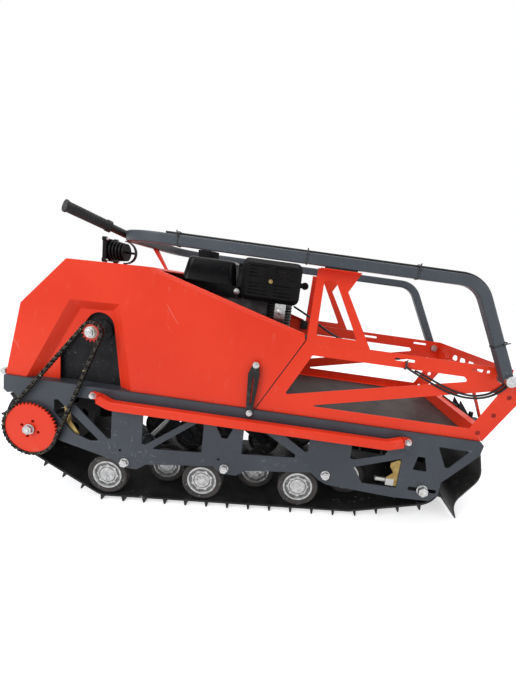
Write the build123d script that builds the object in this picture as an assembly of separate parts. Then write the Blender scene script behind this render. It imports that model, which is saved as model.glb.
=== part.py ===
"""Tracked snow tug: a walk-behind and sled-towing machine with one rubber track.

A hood with a small petrol engine sits at the front of a steel tunnel, a cargo rack behind it.
A chain on the left turns the front drum of the track. A U-shaped tow handle, folded forward
over the machine, turns on two bolts at the rear of the rack.
Millimetres. Pieces are drawn level with the deck: x to the rear, y to the right, z up from the
deck's top. At the end the whole machine is pitched nose-up and set on the ground.
"""

import os
from math import acos, atan2, cos, degrees, hypot, pi, radians, sin, tan

from build123d import *

# Stance and clearances
DECK_PITCH = 5.0
SEAT = 0.3
RUN = 0.3

# Track: a rubber belt with three rows of lugs
TRACK_W = 500.0
BELT_T = 7.0
LUG_H = 18.0
LUG_T = 12.0
LUG_ROOT = 2.0
LUG_SLANT = 80.0
LUG_COUNT = 44
LUG_ROW_GAP = 16.0

# Side plates and deck of the tunnel, set by the track's width
TRACK_SIDE_GAP = 31.0
PLATE_T = 4.0
PLATE_IN = TRACK_W / 2 + TRACK_SIDE_GAP
PLATE_OUT = PLATE_IN + PLATE_T
DECK_T = 3.0
DECK_FRONT = -936.0
DECK_REAR = 640.0
PLATE_REAR = 655.0
PLATE_CORNER_R = 3.0
WINDOW_R = 3.5
WINDOW_TOP = -62.0

# Painted skins of the hood and the rack, set back from the plates
SKIN_STEP = 9.0
SKIN_OUT = PLATE_OUT - SKIN_STEP
SKIN_T = 2.5
SKIN_IN = SKIN_OUT - SKIN_T

# Bogies and road wheels; reach and drop run along and across the ground
BOGIE_X = -522.0
BOGIE_Z = -253.0
BOGIE_STEP = 343.0
BOGIE_COUNT = 3
ROCKER_REACH = 90.0
ROCKER_DROP = 78.0
ROCKER_T = 8.0
ROCKER_PIVOT_R = 24.0
ROCKER_WALL = 10.0
ROCKER_AXLE_R = 17.0
WHEEL_R = 72.0
WHEEL_W = 40.0
WHEEL_EDGE = 5.0
WHEEL_ROW_STEP = 90.0
WHEEL_SIDE_GAP = 5.0
DISC_R = 52.0
DISC_RIM = 6.0
DISC_RIM_SETBACK = 3.0
DISC_WEB_SETBACK = 8.0
DISC_CAP_R = 27.0
DISC_CAP_SETBACK = 4.0
DISC_CAP_T = 5.0
PETAL_COUNT = 8
PETAL_RING_R = 33.0
PETAL_R = 6.0
PETAL_H = 2.5
PLUG_R = 9.0
PLUG_H = 1.5
PLUG_OFFSET = 15.0
PLUG_DIMPLE_R = 4.0
WHEEL_TURN = 55.0
HUB_R = 18.0
AXLE_R = 10.0
OUTER_WHEEL_Y = TRACK_W / 2 - WHEEL_EDGE - WHEEL_W / 2
INNER_WHEEL_Y = OUTER_WHEEL_Y - WHEEL_ROW_STEP

# Drum at the front of the track and idlers at its rear
DRUM_X = -837.0
DRUM_Z = -170.0
DRUM_R = 118.0
DRUM_W = 34.0
DRUM_EDGE = 130.0
DRUM_Y = TRACK_W / 2 - DRUM_EDGE
DRUM_HOLE_R = 22.0
DRUM_HOLE_RING_R = 70.0
DRIVE_SHAFT_R = 15.0
BEARING_R = 32.0
BEARING_L = 20.0
BEARING_EAR_R = 13.0
BEARING_EAR_REACH = 46.0
BEARING_FLANGE_T = 8.0
IDLER_X = 490.0
IDLER_Z = -198.0
IDLER_R = 75.0
IDLER_W = 40.0
IDLER_EDGE = 60.0
IDLER_Y = TRACK_W / 2 - IDLER_EDGE
IDLER_WEB = 8.0
IDLER_HUB_R = 24.0
IDLER_RIM = 13.0
AXLE_SLOT_L = 97.0
AXLE_SLOT_H = 14.0
TENSION_PLATE_T = 5.0
TENSION_SCREW_R = 8.0
TENSION_SCREW_L = 60.0

# Chain drive outside the left plate
CHAIN_STANDOFF = 13.0
CHAIN_Y = -(PLATE_OUT + CHAIN_STANDOFF)
CHAIN_PITCH = 12.7
CHAIN_SLOT = 3.9
CHAIN_PLATE_T = 2.3
CHAIN_HALF_H = 4.8
CHAIN_WAIST = 3.2
LINK_L = 20.3
DRIVEN_TEETH = 44
DRIVER_TEETH = 15
SPROCKET_T = 6.0
TOOTH_OVER = 2.2
TOOTH_DEPTH = 7.0
TOOTH_T = 7.4
TOOTH_SLANT = 68.0
DRIVEN_HOLES = 4
DRIVEN_HOLE_R = 5.5
DRIVEN_HOLE_RING_R = 29.0
DRIVEN_HOLE_TURN = -19.0
JACK_X = -637.0
JACK_Z = 185.0
JACK_R = 12.0
JACK_HUB_R = 18.0
JACK_BEARING_R = 34.0
JACK_INNER_Y = -150.0
JACK_PLATE_T = 4.0
JACK_PLATE_GAP = 12.5

# Hood
HOOD_NOSE_X, HOOD_NOSE_Z = -883.0, 244.0
HOOD_BROW_X, HOOD_BROW_Z = -737.0, 400.0
HOOD_TOP_X, HOOD_TOP_Z = -470.0, 409.0
HOOD_TAIL_X, HOOD_TAIL_Z = 25.0, 269.0
SEAM_TOP_X, SEAM_TOP_Z = 30.0, 249.0
SEAM_FOOT_X = -104.0
SEAM_GAP = 4.0
SEAM_LAP = 14.0
HOOD_FOLD_R = 8.0
HOOD_BEVEL = 12.0
HOOD_LIP = 6.0
HOOD_OPEN_SETBACK = 20.0
RECESS_DEPTH = 25.0
RECESS_BEVEL = 27.0
ARCH_R = 47.0
ARCH_SHIFT_X, ARCH_SHIFT_Z = -2.0, 12.0
HINGE_R = 9.0
HINGE_L = 60.0
HINGE_LEAF_T = 3.0

# Cargo rack
RAIL_TOP = 249.0
RAIL_BOTTOM = 205.0
RACK_FOOT = 37.0
RACK_REAR_TOP = 211.0
RACK_REAR_X = 771.0
FLANGE = 25.0
LASH_SLOT_H = 9.0
LASH_SLOT_Z = 231.0
STRIP_HOLE_R = 8.0
REAR_PANEL_X = 684.0
REAR_PANEL_H = 78.0
PANEL_LAP = 6.0
PANEL_SLOTS = 6
PANEL_SLOT_L = 46.0
PANEL_SLOT_H = 22.0
PANEL_SLOT_STEP = 68.0
BRACE_Y = -36.0
BRACE_W = 16.0
BRACE_T = 6.0
BRACE_RAKE = 0.465
BRACE_LAP = 8.0
REAR_BEAM_X = 620.0
REAR_BEAM_L = 30.0
REAR_BEAM_H = 45.0
MAT_T = 4.0
MAT_FRONT = -80.0
MAT_MARGIN = 3.0

# Arm rests on the rack's rails
REST_X = 38.0
REST_TOP_L = 133.0
REST_WAIST_X, REST_WAIST_Z = 139.0, 415.0
REST_FOOT_REAR = 236.0
REST_PAD_L = 96.0
REST_PAD_T = 4.4

# Guard rails: square tube along each plate, pressed flat at its ends
RAIL_W = 30.0
RAIL_CORNER_R = 5.0
RAIL_GAP = 3.0
RAIL_BEND_R = 60.0
RAIL_Z = -46.0
RAIL_EAR_R = 12.5
RAIL_EAR_T = 8.0
RAIL_EAR_L = 8.0

# Engine, with its tank and shroud in front and its muffler behind
ENGINE_TOP = 345.0
ENGINE_SPLIT = 200.0
CASE_FRONT, CASE_REAR = -400.0, -110.0
CASE_LEFT, CASE_RIGHT = -110.0, 130.0
BARREL_X = -120.0
BARREL_SIDE = 96.0
FIN_SIDE = 150.0
FIN_T = 4.0
FIN_STEP = 11.0
FIN_COUNT = 9
STARTER_R = 105.0
STARTER_T = 40.0
SHROUD_TOP = 384.0
SHROUD_HALF_W = 118.0
SHROUD_REAR = -216.0
TANK_X = -338.0
TANK_L, TANK_W = 196.0, 256.0
TANK_DRAFT = 14.0
TANK_TOP = 469.0
TANK_CORNER_R = 26.0
TANK_TOP_R = 12.0
TANK_SEAM = 7.0
TANK_SEAM_T = 4.0
CAP_X = -377.0
CAP_R = 40.0
CAP_H = 30.0
CAP_LOBES = 10
GUARD_FRONT, GUARD_REAR = -213.0, -9.0
GUARD_LEFT, GUARD_RIGHT = -165.0, -62.0
GUARD_LOW = ENGINE_TOP + SEAT
GUARD_HIGH = 487.0
GUARD_T = 2.0
GUARD_R = 22.0
GUARD_BEVEL = 15.0
LOUVRE_L, LOUVRE_H = 62.0, 4.5
LOUVRE_STEP = 11.5
LOUVRE_ROWS = 4
MUFFLER_GAP = 20.0
PIPE_Y, PIPE_Z = -112.0, 417.0
PIPE_R = 9.0
PIPE_REACH = 15.0
OUTLET_R = 13.0
OUTLET_L = 26.0
OUTLET_BORE_R = 8.0
CLEANER_TOP = 478.0

# Headlamp on the hood
LAMP_X = -766.0
LAMP_W = 84.0
LAMP_CORNER_R = 16.0
LAMP_EAR_R = 9.0
LAMP_EAR_INSET = 4.0
BEZEL_T = 14.0
LAMP_L = 72.0
LAMP_BACK_R = 26.0
LAMP_FIN_R = 39.0
LAMP_FIN_STEP_R = 1.5
LAMP_FINS = 5
LAMP_LIFT = 8.0
GLAND_R = 4.5
LENS_R = 34.0
LENS_T = 4.0
BRACKET_T = 3.0
BRACKET_W = 40.0
STRAP_X = -700.0
STRAP_R = 43.0
STRAP_T = 4.0
STRAP_W = 14.0

# Rubber latches and the stay under the handle
LATCH_X = -117.0
LATCH_TOP = 160.0
LATCH_NECK = 122.0
LATCH_FOOT = -24.0
LATCH_T = 7.0
LATCH_SLOT_W = 5.0
STAY_W = 16.0
STAY_T = 8.0
STAY_FOOT_X = -535.0
STAY_FOOT_L = 34.0
STAY_HEAD_X = -582.0

# Snow flap and tow hitch
FLAP_T = 5.0
FLAP_MARGIN = 15.0
TONGUE_W = 92.0
TONGUE_T = 10.0
TONGUE_TOP = -22.0
TONGUE_FRONT, TONGUE_REAR = 700.0, 804.0
TOW_PIN_X = 751.0
TOW_PIN_R = 9.0
TOW_PIN_L = 34.0
HITCH_PLATE_T = 5.0
GUSSET_Y = 24.0
GUSSET_T = 6.0

# Tow handle: square tube on two pivot bolts
PIVOT_X, PIVOT_Z = 658.0, 219.0
PIVOT_R = 9.0
PIVOT_HEAD_R = 17.0
PIVOT_HEAD_T = 11.0
PIVOT_NUT_R = 15.0
PIVOT_PLAY = 1.0
ARM_STANDOFF = 18.0
ARM_Y = PLATE_OUT + ARM_STANDOFF
ARM_W = 32.0
ARM_CORNER_R = 5.0
ARM_TOP_X, ARM_TOP_Z = 509.0, 495.0
ARM_BEND_R = 90.0
CROSS_X = -580.0
CROSS_BEND_R = 148.0
STUB_R = 12.5
STUB_ROOT_INSET = 138.0
GRIP_R = 16.0
GRIP_RING_R = 18.5
GRIP_RING_T = 5.0
GRIP_COLLAR_L = 12.0
GRIP_L = 130.0
GRIP_WALL = 4.0
GRIP_TIP_X, GRIP_TIP_Z = -700.0, 545.0
GRIP_SPREAD = 32.0
CABLE_R = 3.5
CABLE_FRONT = -420.0
CABLE_END = 22.0
CABLE_BEND_SHARE = 0.45


def flat(points, radius=0.0):
    """A side-view outline in x and z with rounded corners."""
    outline = Polygon(*points, align=None)
    if radius:
        return fillet(outline.vertices(), radius)
    return outline


def sheet(sketch, y_a, y_b):
    """A piece cut to a side-view outline, between two y planes."""
    low, high = sorted((y_a, y_b))
    plane = Plane(origin=(0, high, 0), x_dir=(1, 0, 0), z_dir=(0, -1, 0))
    return extrude(plane * sketch, amount=high - low, dir=(0, -1, 0))


def bar(x_a, x_b, y_a, y_b, z_a, z_b):
    """A square block between two corners."""
    size = (abs(x_b - x_a), abs(y_b - y_a), abs(z_b - z_a))
    middle = ((x_a + x_b) / 2, (y_a + y_b) / 2, (z_a + z_b) / 2)
    return Pos(*middle) * Box(*size)


def rod(x, z, radius, y_a, y_b):
    """A round bar across the machine."""
    return Pos(x, (y_a + y_b) / 2, z) * Rot(90, 0, 0) * Cylinder(radius, abs(y_b - y_a))


def other_side(piece):
    """The mirror image on the machine's other side."""
    return mirror(piece, about=Plane.XZ)


def along_ground(dx, dz):
    """An offset along and up from the ground, turned into the deck's own frame."""
    lean = radians(DECK_PITCH)
    return dx * cos(lean) - dz * sin(lean), dx * sin(lean) + dz * cos(lean)


def bent_path(points, radii):
    """Straight runs through the points, with a tangent arc of its own radius at each corner."""
    points = [Vector(point) for point in points]
    edges = []
    at = points[0]
    for before, corner, after, radius in zip(points, points[1:], points[2:], radii):
        way_in = (corner - before).normalized()
        way_out = (after - corner).normalized()
        half_turn = acos(max(-1.0, min(1.0, way_in.dot(way_out)))) / 2
        reach = radius * tan(half_turn)
        begin = corner - way_in * reach
        end = corner + way_out * reach
        inward = (way_out - way_in).normalized()
        middle = corner + inward * (radius / cos(half_turn) - radius)
        edges.append(Line(at, begin))
        edges.append(ThreePointArc(begin, middle, end))
        at = end
    edges.append(Line(at, points[-1]))
    return Wire(edges)


def tube(points, radii, section):
    """A bar of one section bent along a path that starts upright or lengthwise."""
    path = bent_path(points, radii)
    start = Vector(points[0])
    way = (Vector(points[1]) - start).normalized()
    return sweep(Plane(origin=start, x_dir=(0, 1, 0), z_dir=way) * section, path=path)


def strip(ends, width):
    """A side-view strip with round ends."""
    return make_hull([Pos(x, z) * Edge.make_circle(width / 2) for x, z in ends])


def pair(piece):
    """A piece and its mirror image in one node."""
    return Compound([piece, other_side(piece)])


def belt_spans(wheels, grow):
    """Arcs and straight runs of a belt round wheels (x, z, radius), anticlockwise."""
    count = len(wheels)
    normals = []
    for i in range(count):
        x_a, z_a, r_a = wheels[i]
        x_b, z_b, r_b = wheels[(i + 1) % count]
        gap = hypot(x_b - x_a, z_b - z_a)
        normals.append(atan2(z_b - z_a, x_b - x_a) - acos((r_a - r_b) / gap))
    spans = []
    for i in range(count):
        x, z, r = wheels[i]
        x_b, z_b, r_b = wheels[(i + 1) % count]
        begin = normals[i - 1]
        end = begin + (normals[i] - begin) % (2 * pi)
        spans.append((x, z, r + grow, begin, end))
        start = (x + (r + grow) * cos(end), z + (r + grow) * sin(end))
        goal = (x_b + (r_b + grow) * cos(end), z_b + (r_b + grow) * sin(end))
        spans.append((start, goal, end))
    return spans


def belt_face(spans):
    """The filled outline of a belt's spans."""
    edges = []
    for span in spans:
        if len(span) == 3:
            edges.append(Line(span[0], span[1]))
        else:
            x, z, r, begin, end = span
            turns = (begin, (begin + end) / 2, end)
            edges.append(ThreePointArc(*[(x + r * cos(a), z + r * sin(a)) for a in turns]))
    return make_face(edges)


def belt_length(spans):
    """The length round a belt."""
    return sum(
        hypot(s[1][0] - s[0][0], s[1][1] - s[0][1]) if len(s) == 3 else s[2] * (s[4] - s[3])
        for s in spans
    )


def belt_stations(spans, count):
    """Evenly spaced places on a belt: x, z and the outward angle in degrees."""
    step = belt_length(spans) / count
    places = []
    travelled = 0.0
    for span in spans:
        length = belt_length([span])
        first = int(-(-travelled // step))
        for n in range(first, count):
            share = (n * step - travelled) / length
            if share >= 1.0:
                break
            if len(span) == 3:
                (x_a, z_a), (x_b, z_b), angle = span
                x, z = x_a + share * (x_b - x_a), z_a + share * (z_b - z_a)
            else:
                angle = span[3] + share * (span[4] - span[3])
                x, z = span[0] + span[2] * cos(angle), span[1] + span[2] * sin(angle)
            places.append((x, z, degrees(angle)))
        travelled += length
    return places


def pitch_radius(teeth):
    """Pitch radius of a chain sprocket."""
    return CHAIN_PITCH / 2 / sin(pi / teeth)


nodes = {}

# Side plates: flat steel with triangular windows, a lobe under each bogie pivot
# and a slot for the rear axle.
bogies = []
for i in range(BOGIE_COUNT):
    dx, dz = along_ground(i * BOGIE_STEP, 0)
    bogies.append((BOGIE_X + dx, BOGIE_Z + dz))

plate_edge = [
    (DECK_FRONT, 0), (PLATE_REAR - 12, 0), (PLATE_REAR, -12), (PLATE_REAR - 5, -48),
    (560, -147), (546, -160), (546, -208), (520, -234), (400, -239),
]
heel = [(10, -35), (-20, -22), (-50, 1)]
lobe = [(74, 3), (42, -20), (-13, -20), (-40, 3)]
for (x, z), steps in zip(reversed(bogies), [heel] + [lobe] * (BOGIE_COUNT - 1)):
    plate_edge += [(x + dx, z + dz) for dx, dz in steps]
plate_edge += [
    (-770, -201), (-795, -232), (-870, -238), (-900, -200), (-893, -95), (-890, -76),
    (-905, -56), (-926, -60), (DECK_FRONT - 2, -50),
]
plate_windows = [
    [(-768, WINDOW_TOP), (-754, -60), (-612, -186), (-640, -192), (-700, -172), (-768, -105)],
    [(-703, -42), (-572, -42), (-572, -174), (-584, -174), (-703, -64)],
    [(-467, WINDOW_TOP), (-300, WINDOW_TOP), (-452, -177), (-467, -177)],
    [(-430, -190), (-424, -182), (-282, -72), (-262, -72), (-262, -177)],
    [(-228, WINDOW_TOP), (-158, WINDOW_TOP), (-180, -114), (-200, -114)],
    [(-128, WINDOW_TOP), (-75, WINDOW_TOP), (52, -136), (52, -147), (-128, -162)],
    [(-10, WINDOW_TOP), (92, WINDOW_TOP), (92, -120), (80, -120)],
    [(233, WINDOW_TOP), (357, WINDOW_TOP), (345, -92), (250, -122), (234, -122)],
    [(250, -150), (398, -98), (404, -104), (404, -203), (287, -203)],
    [(453, -80), (477, -80), (492, -130), (445, -129)],
    [(512, -36), (616, -38), (560, -106), (548, -106)],
]
plate_sketch = flat(plate_edge, PLATE_CORNER_R)
for window in plate_windows:
    plate_sketch -= flat(window, WINDOW_R)
for x, z, radius in ((-540, -211, 5), (-203, -192, 5), (-233, -38, 4), (-155, -38, 4)):
    plate_sketch -= Pos(x, z) * Circle(radius)
plate_sketch -= Pos(IDLER_X, IDLER_Z) * SlotOverall(AXLE_SLOT_L, AXLE_SLOT_H)
plate_sketch -= Pos(DRUM_X, DRUM_Z) * Circle(DRIVE_SHAFT_R + RUN)
plate_left = sheet(plate_sketch, -PLATE_OUT, -PLATE_IN)
nodes["side_plate_left"] = plate_left
nodes["side_plate_right"] = other_side(plate_left)

deck_half = PLATE_IN - SEAT
nodes["deck"] = bar(DECK_FRONT, DECK_REAR, -deck_half, deck_half, -DECK_T, 0)

# Pivot shafts of the bogies, from plate to plate.
nodes["pivot_shafts"] = Compound(
    [rod(x, z, AXLE_R, -deck_half, deck_half) for x, z in bogies]
)

# Bogies: a tube on the pivot shaft with an arm to the outer front wheel and one to the inner
# rear wheel; each wheel is on the outer side of its arm.
front_step = along_ground(-ROCKER_REACH, -ROCKER_DROP)
rear_step = along_ground(ROCKER_REACH, -ROCKER_DROP)
tube_outer_y = deck_half - 2
cap_inside = WHEEL_W / 2 - DISC_CAP_SETBACK - DISC_CAP_T
wheel_rows = [(front_step, OUTER_WHEEL_Y), (rear_step, INNER_WHEEL_Y)]


def rocker_arm(step, y_a, y_b):
    """A flat arm from the pivot to a wheel's axle."""
    hull = make_hull(
        Edge.make_circle(ROCKER_PIVOT_R).edges()
        + (Pos(*step) * Edge.make_circle(ROCKER_AXLE_R)).edges()
    )
    return sheet(hull, y_a, y_b)


arm_reach = WHEEL_W / 2 + WHEEL_SIDE_GAP
tube_inner_y = INNER_WHEEL_Y - arm_reach - ROCKER_T
rocker = rod(0, 0, AXLE_R + ROCKER_WALL, -tube_outer_y, -tube_inner_y)
for step, wheel_y in wheel_rows:
    arm_y = wheel_y - arm_reach
    rocker += rocker_arm(step, -arm_y, -arm_y + ROCKER_T)
    rocker += rod(*step, AXLE_R, -wheel_y - cap_inside + SEAT, -arm_y)
rocker -= rod(0, 0, AXLE_R + RUN, -PLATE_IN, 0)
rockers_left = [Pos(x, 0, z) * rocker for x, z in bogies]
nodes["bogies_left"] = Compound(rockers_left)
nodes["bogies_right"] = Compound([other_side(r) for r in rockers_left])

# Road wheels: a pressed disc with a closed cap, a ring of petals and an off-centre plug, each
# wheel stopped at its own angle, and a rubber tyre.
rim_y = WHEEL_W / 2 - DISC_RIM_SETBACK
web_y = WHEEL_W / 2 - DISC_WEB_SETBACK
cap_y = WHEEL_W / 2 - DISC_CAP_SETBACK
bore = AXLE_R + RUN
disc_profile = [
    (0, -cap_y), (DISC_CAP_R, -cap_y), (DISC_CAP_R + 3, -web_y), (DISC_R - DISC_RIM - 3, -web_y),
    (DISC_R - DISC_RIM, -rim_y), (DISC_R, -rim_y), (DISC_R, rim_y), (DISC_R - DISC_RIM, rim_y),
    (DISC_R - DISC_RIM - 3, web_y), (HUB_R + 4, web_y), (HUB_R, cap_y), (bore, cap_y),
    (bore, -cap_inside), (0, -cap_inside),
]
wheel_disc = revolve(flat(disc_profile), axis=Axis.Y)
petals = Circle(PETAL_RING_R + 2) + PolarLocations(PETAL_RING_R, PETAL_COUNT) * Circle(PETAL_R)
petals -= Circle(DISC_CAP_R + 3)
wheel_disc += sheet(petals, -web_y - PETAL_H, -web_y)
wheel_disc += rod(0, -PLUG_OFFSET, PLUG_R, -cap_y - PLUG_H, -cap_y)
wheel_disc -= rod(0, -PLUG_OFFSET, PLUG_DIMPLE_R, -cap_y - PLUG_H, -cap_y)
wheel_tyre = sheet(Circle(WHEEL_R) - Circle(DISC_R + SEAT), -WHEEL_W / 2, WHEEL_W / 2)
wheel_places = []
for x, z in bogies:
    for step, wheel_y in wheel_rows:
        wheel_places.append((x + step[0], -wheel_y, z + step[1]))
discs_left = [Pos(*p) * Rot(0, n * WHEEL_TURN, 0) * wheel_disc for n, p in enumerate(wheel_places)]
tyres_left = [Pos(*place) * wheel_tyre for place in wheel_places]
nodes["wheel_discs_left"] = Compound(discs_left)
nodes["wheel_discs_right"] = Compound([other_side(d) for d in discs_left])
nodes["wheel_tyres_left"] = Compound(tyres_left)
nodes["wheel_tyres_right"] = Compound([other_side(t) for t in tyres_left])

# Track: a rubber belt round the drum, the road wheels and the idlers. The lugs of the middle
# row stand between those of the outer rows.
track_wheels = [
    (DRUM_X, DRUM_Z, DRUM_R),
    (wheel_places[0][0], wheel_places[0][2], WHEEL_R),
    (wheel_places[-1][0], wheel_places[-1][2], WHEEL_R),
    (IDLER_X, IDLER_Z, IDLER_R),
]
belt_ring = belt_face(belt_spans(track_wheels, SEAT + BELT_T))
belt_ring -= belt_face(belt_spans(track_wheels, SEAT))
lug_line = belt_spans(track_wheels, SEAT + BELT_T - LUG_ROOT)
lug = Trapezoid(LUG_T, LUG_H + LUG_ROOT, LUG_SLANT, align=(Align.CENTER, Align.MIN), rotation=-90)
lug_places = [Pos(x, z) * Rot(0, 0, turn) for x, z, turn in belt_stations(lug_line, 2 * LUG_COUNT)]
row_w = (TRACK_W - 2 * LUG_ROW_GAP) / 3
row_step = row_w + LUG_ROW_GAP
track = sheet(belt_ring, -TRACK_W / 2, TRACK_W / 2)
for row in (-1, 0, 1):
    row_lugs = belt_ring + [place * lug for place in lug_places[row % 2::2]]
    track += sheet(row_lugs, row * row_step - row_w / 2, row * row_step + row_w / 2)
nodes["track"] = track

# Drive shaft with the two drums that turn the track, in a flanged bearing at each plate.
drum = Circle(DRUM_R) - Circle(DRIVE_SHAFT_R)
drum -= PolarLocations(DRUM_HOLE_RING_R, 6) * Circle(DRUM_HOLE_R)
drive_shaft = rod(DRUM_X, DRUM_Z, DRIVE_SHAFT_R, CHAIN_Y - SPROCKET_T, deck_half)
for y in (-DRUM_Y, DRUM_Y):
    drive_shaft += Pos(DRUM_X, 0, DRUM_Z) * sheet(drum, y - DRUM_W / 2, y + DRUM_W / 2)
nodes["drive_shaft"] = drive_shaft
bearing_rounds = [(-BEARING_EAR_REACH, BEARING_EAR_R), (0, BEARING_R), (BEARING_EAR_REACH, BEARING_EAR_R)]
bearing_flange = make_hull([Pos(x, 0) * Edge.make_circle(r) for x, r in bearing_rounds])
bearing = Pos(DRUM_X, 0, DRUM_Z) * sheet(bearing_flange, -deck_half, -deck_half + BEARING_FLANGE_T)
bearing += rod(DRUM_X, DRUM_Z, BEARING_R, -deck_half, -deck_half + BEARING_L)
bearing -= rod(DRUM_X, DRUM_Z, DRIVE_SHAFT_R + RUN, -PLATE_OUT, -deck_half + BEARING_L + SEAT)
nodes["drive_bearings"] = pair(bearing)

# Rear axle with its idlers; a brass-coloured tensioner plate with its screw on each side, and
# a guide strip of the same finish behind the chain.
nodes["rear_axle"] = rod(IDLER_X, IDLER_Z, AXLE_R, -deck_half, deck_half)
idler_half = [
    (IDLER_HUB_R, IDLER_W / 2), (IDLER_HUB_R + 6, IDLER_WEB), (IDLER_R - IDLER_RIM - 4, IDLER_WEB),
    (IDLER_R - IDLER_RIM, IDLER_W / 2), (IDLER_R - 4, IDLER_W / 2), (IDLER_R, IDLER_W / 2 - 4),
]
idler_profile = [(AXLE_R + RUN, IDLER_W / 2)] + idler_half
idler_profile += [(r, -y) for r, y in reversed(idler_profile)]
idler = revolve(flat(idler_profile), axis=Axis.Y)
nodes["rear_idlers"] = Compound(
    [Pos(IDLER_X, y, IDLER_Z) * idler for y in (-IDLER_Y, IDLER_Y)]
)
tension_edge = [
    (366, -200), (366, -172), (386, -152), (372, -132), (372, -118), (394, -106), (428, -106), (428, -200),
]
tensioner = sheet(flat(tension_edge, 3), -deck_half, -deck_half + TENSION_PLATE_T)
screw_y = -deck_half + TENSION_PLATE_T + TENSION_SCREW_R - 1
tensioner += Pos(362, screw_y, -186) * Rot(0, 90, 0) * Cylinder(TENSION_SCREW_R, TENSION_SCREW_L)
guide_edge = [(-737, -74), (-722, -74), (-712, -132), (-682, -176), (-698, -184), (-728, -134)]
guide = sheet(flat(guide_edge, 3), -deck_half, -deck_half + TENSION_PLATE_T)
nodes["tensioners"] = Compound([tensioner, other_side(tensioner), guide])

# Chain drive: driven sprocket on the drive shaft, driver on the jackshaft above it.


def sprocket(teeth):
    """A toothed disc for the chain."""
    tip = pitch_radius(teeth) + TOOTH_OVER
    root = tip - TOOTH_DEPTH
    tooth = Trapezoid(TOOTH_T, TOOTH_DEPTH + 1, TOOTH_SLANT, align=(Align.CENTER, Align.MIN),
                      rotation=-90)
    return Circle(root) + PolarLocations(root - 1, teeth) * tooth


def at_chain(sketch, x, z):
    """A disc as thick as a sprocket in the chain's plane."""
    return Pos(x, 0, z) * sheet(sketch, CHAIN_Y - SPROCKET_T / 2, CHAIN_Y + SPROCKET_T / 2)


driven = sprocket(DRIVEN_TEETH)
driven -= PolarLocations(DRIVEN_HOLE_RING_R, DRIVEN_HOLES, DRIVEN_HOLE_TURN) * Circle(DRIVEN_HOLE_R)
driven -= Circle(DRIVE_SHAFT_R + RUN)
nodes["driven_sprocket"] = at_chain(driven, DRUM_X, DRUM_Z)
jack_tip_y = CHAIN_Y - SPROCKET_T / 2 - 11
jack = rod(JACK_X, JACK_Z, JACK_R, jack_tip_y, JACK_INNER_Y)
jack += at_chain(sprocket(DRIVER_TEETH), JACK_X, JACK_Z)
jack += rod(JACK_X, JACK_Z, JACK_HUB_R, jack_tip_y + 4, CHAIN_Y + 12)
nodes["jackshaft"] = jack

chain_wheels = [
    (DRUM_X, DRUM_Z, pitch_radius(DRIVEN_TEETH)),
    (JACK_X, JACK_Z, pitch_radius(DRIVER_TEETH)),
]
chain_line = belt_spans(chain_wheels, 0)
chain_links = round(belt_length(chain_line) / CHAIN_PITCH / 2)


def chain_band(low, high):
    """The chain's loop between two distances from its pitch line."""
    return belt_face(belt_spans(chain_wheels, high)) - belt_face(belt_spans(chain_wheels, low))


inner_plates = chain_band(-CHAIN_WAIST, CHAIN_WAIST)
outer_plates = inner_plates + [
    Pos(x, z) * Rot(0, 0, turn) * Rectangle(2 * CHAIN_HALF_H, LINK_L)
    for x, z, turn in belt_stations(chain_line, chain_links)
]
chain = sheet(chain_band(TOOTH_OVER + RUN, CHAIN_HALF_H), CHAIN_Y - CHAIN_SLOT, CHAIN_Y + CHAIN_SLOT)
for side, plates in ((-1, outer_plates), (1, inner_plates)):
    face = CHAIN_Y + side * CHAIN_SLOT
    chain += sheet(plates, face, face + side * CHAIN_PLATE_T)
nodes["chain"] = chain

# Dark plate behind the hood's opening, with the jackshaft's bearing.
jack_plate_y = -(SKIN_OUT - RECESS_DEPTH - SKIN_T - JACK_PLATE_GAP)
jack_edge = [(-790, SEAT), (-790, 120), (-690, 262), (-585, 262), (-545, SEAT)]
jack_plate = sheet(flat(jack_edge, 12), jack_plate_y, jack_plate_y + JACK_PLATE_T)
jack_plate += rod(JACK_X, JACK_Z, JACK_BEARING_R, jack_plate_y - 8, jack_plate_y + 20)
jack_plate -= rod(JACK_X, JACK_Z, JACK_R + RUN, jack_plate_y - 9, jack_plate_y + 21)
nodes["jackshaft_plate"] = jack_plate

# Hood: folded sheet, open below, behind and over the engine. The edges beside the engine are
# bevelled, and the left side has a bevelled recess with an arched opening for the chain.
hood_sketch = flat([
    (DECK_FRONT, SEAT), (HOOD_NOSE_X, HOOD_NOSE_Z), (HOOD_BROW_X, HOOD_BROW_Z),
    (HOOD_TOP_X, HOOD_TOP_Z), (HOOD_TAIL_X, HOOD_TAIL_Z), (SEAM_TOP_X, SEAM_TOP_Z),
    (SEAM_FOOT_X, SEAT),
])
fall = atan2(HOOD_TAIL_Z - HOOD_TOP_Z, HOOD_TAIL_X - HOOD_TOP_X)
slope_way = Vector(cos(fall), 0, sin(fall))


def hood_block(sketch, half_width, fold_r):
    """The hood as a solid block: rounded folds at nose and brow, bevels beside the engine."""
    folds = [v for v in sketch.vertices() if v.X < HOOD_TOP_X - 50 and v.Y > HOOD_NOSE_Z - 50]
    block = sheet(fillet(folds, fold_r), -half_width, half_width)
    slope = [e for e in block.edges() if abs((e % 0.5).dot(slope_way)) > 0.9999]
    return chamfer(slope, HOOD_BEVEL)


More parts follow.
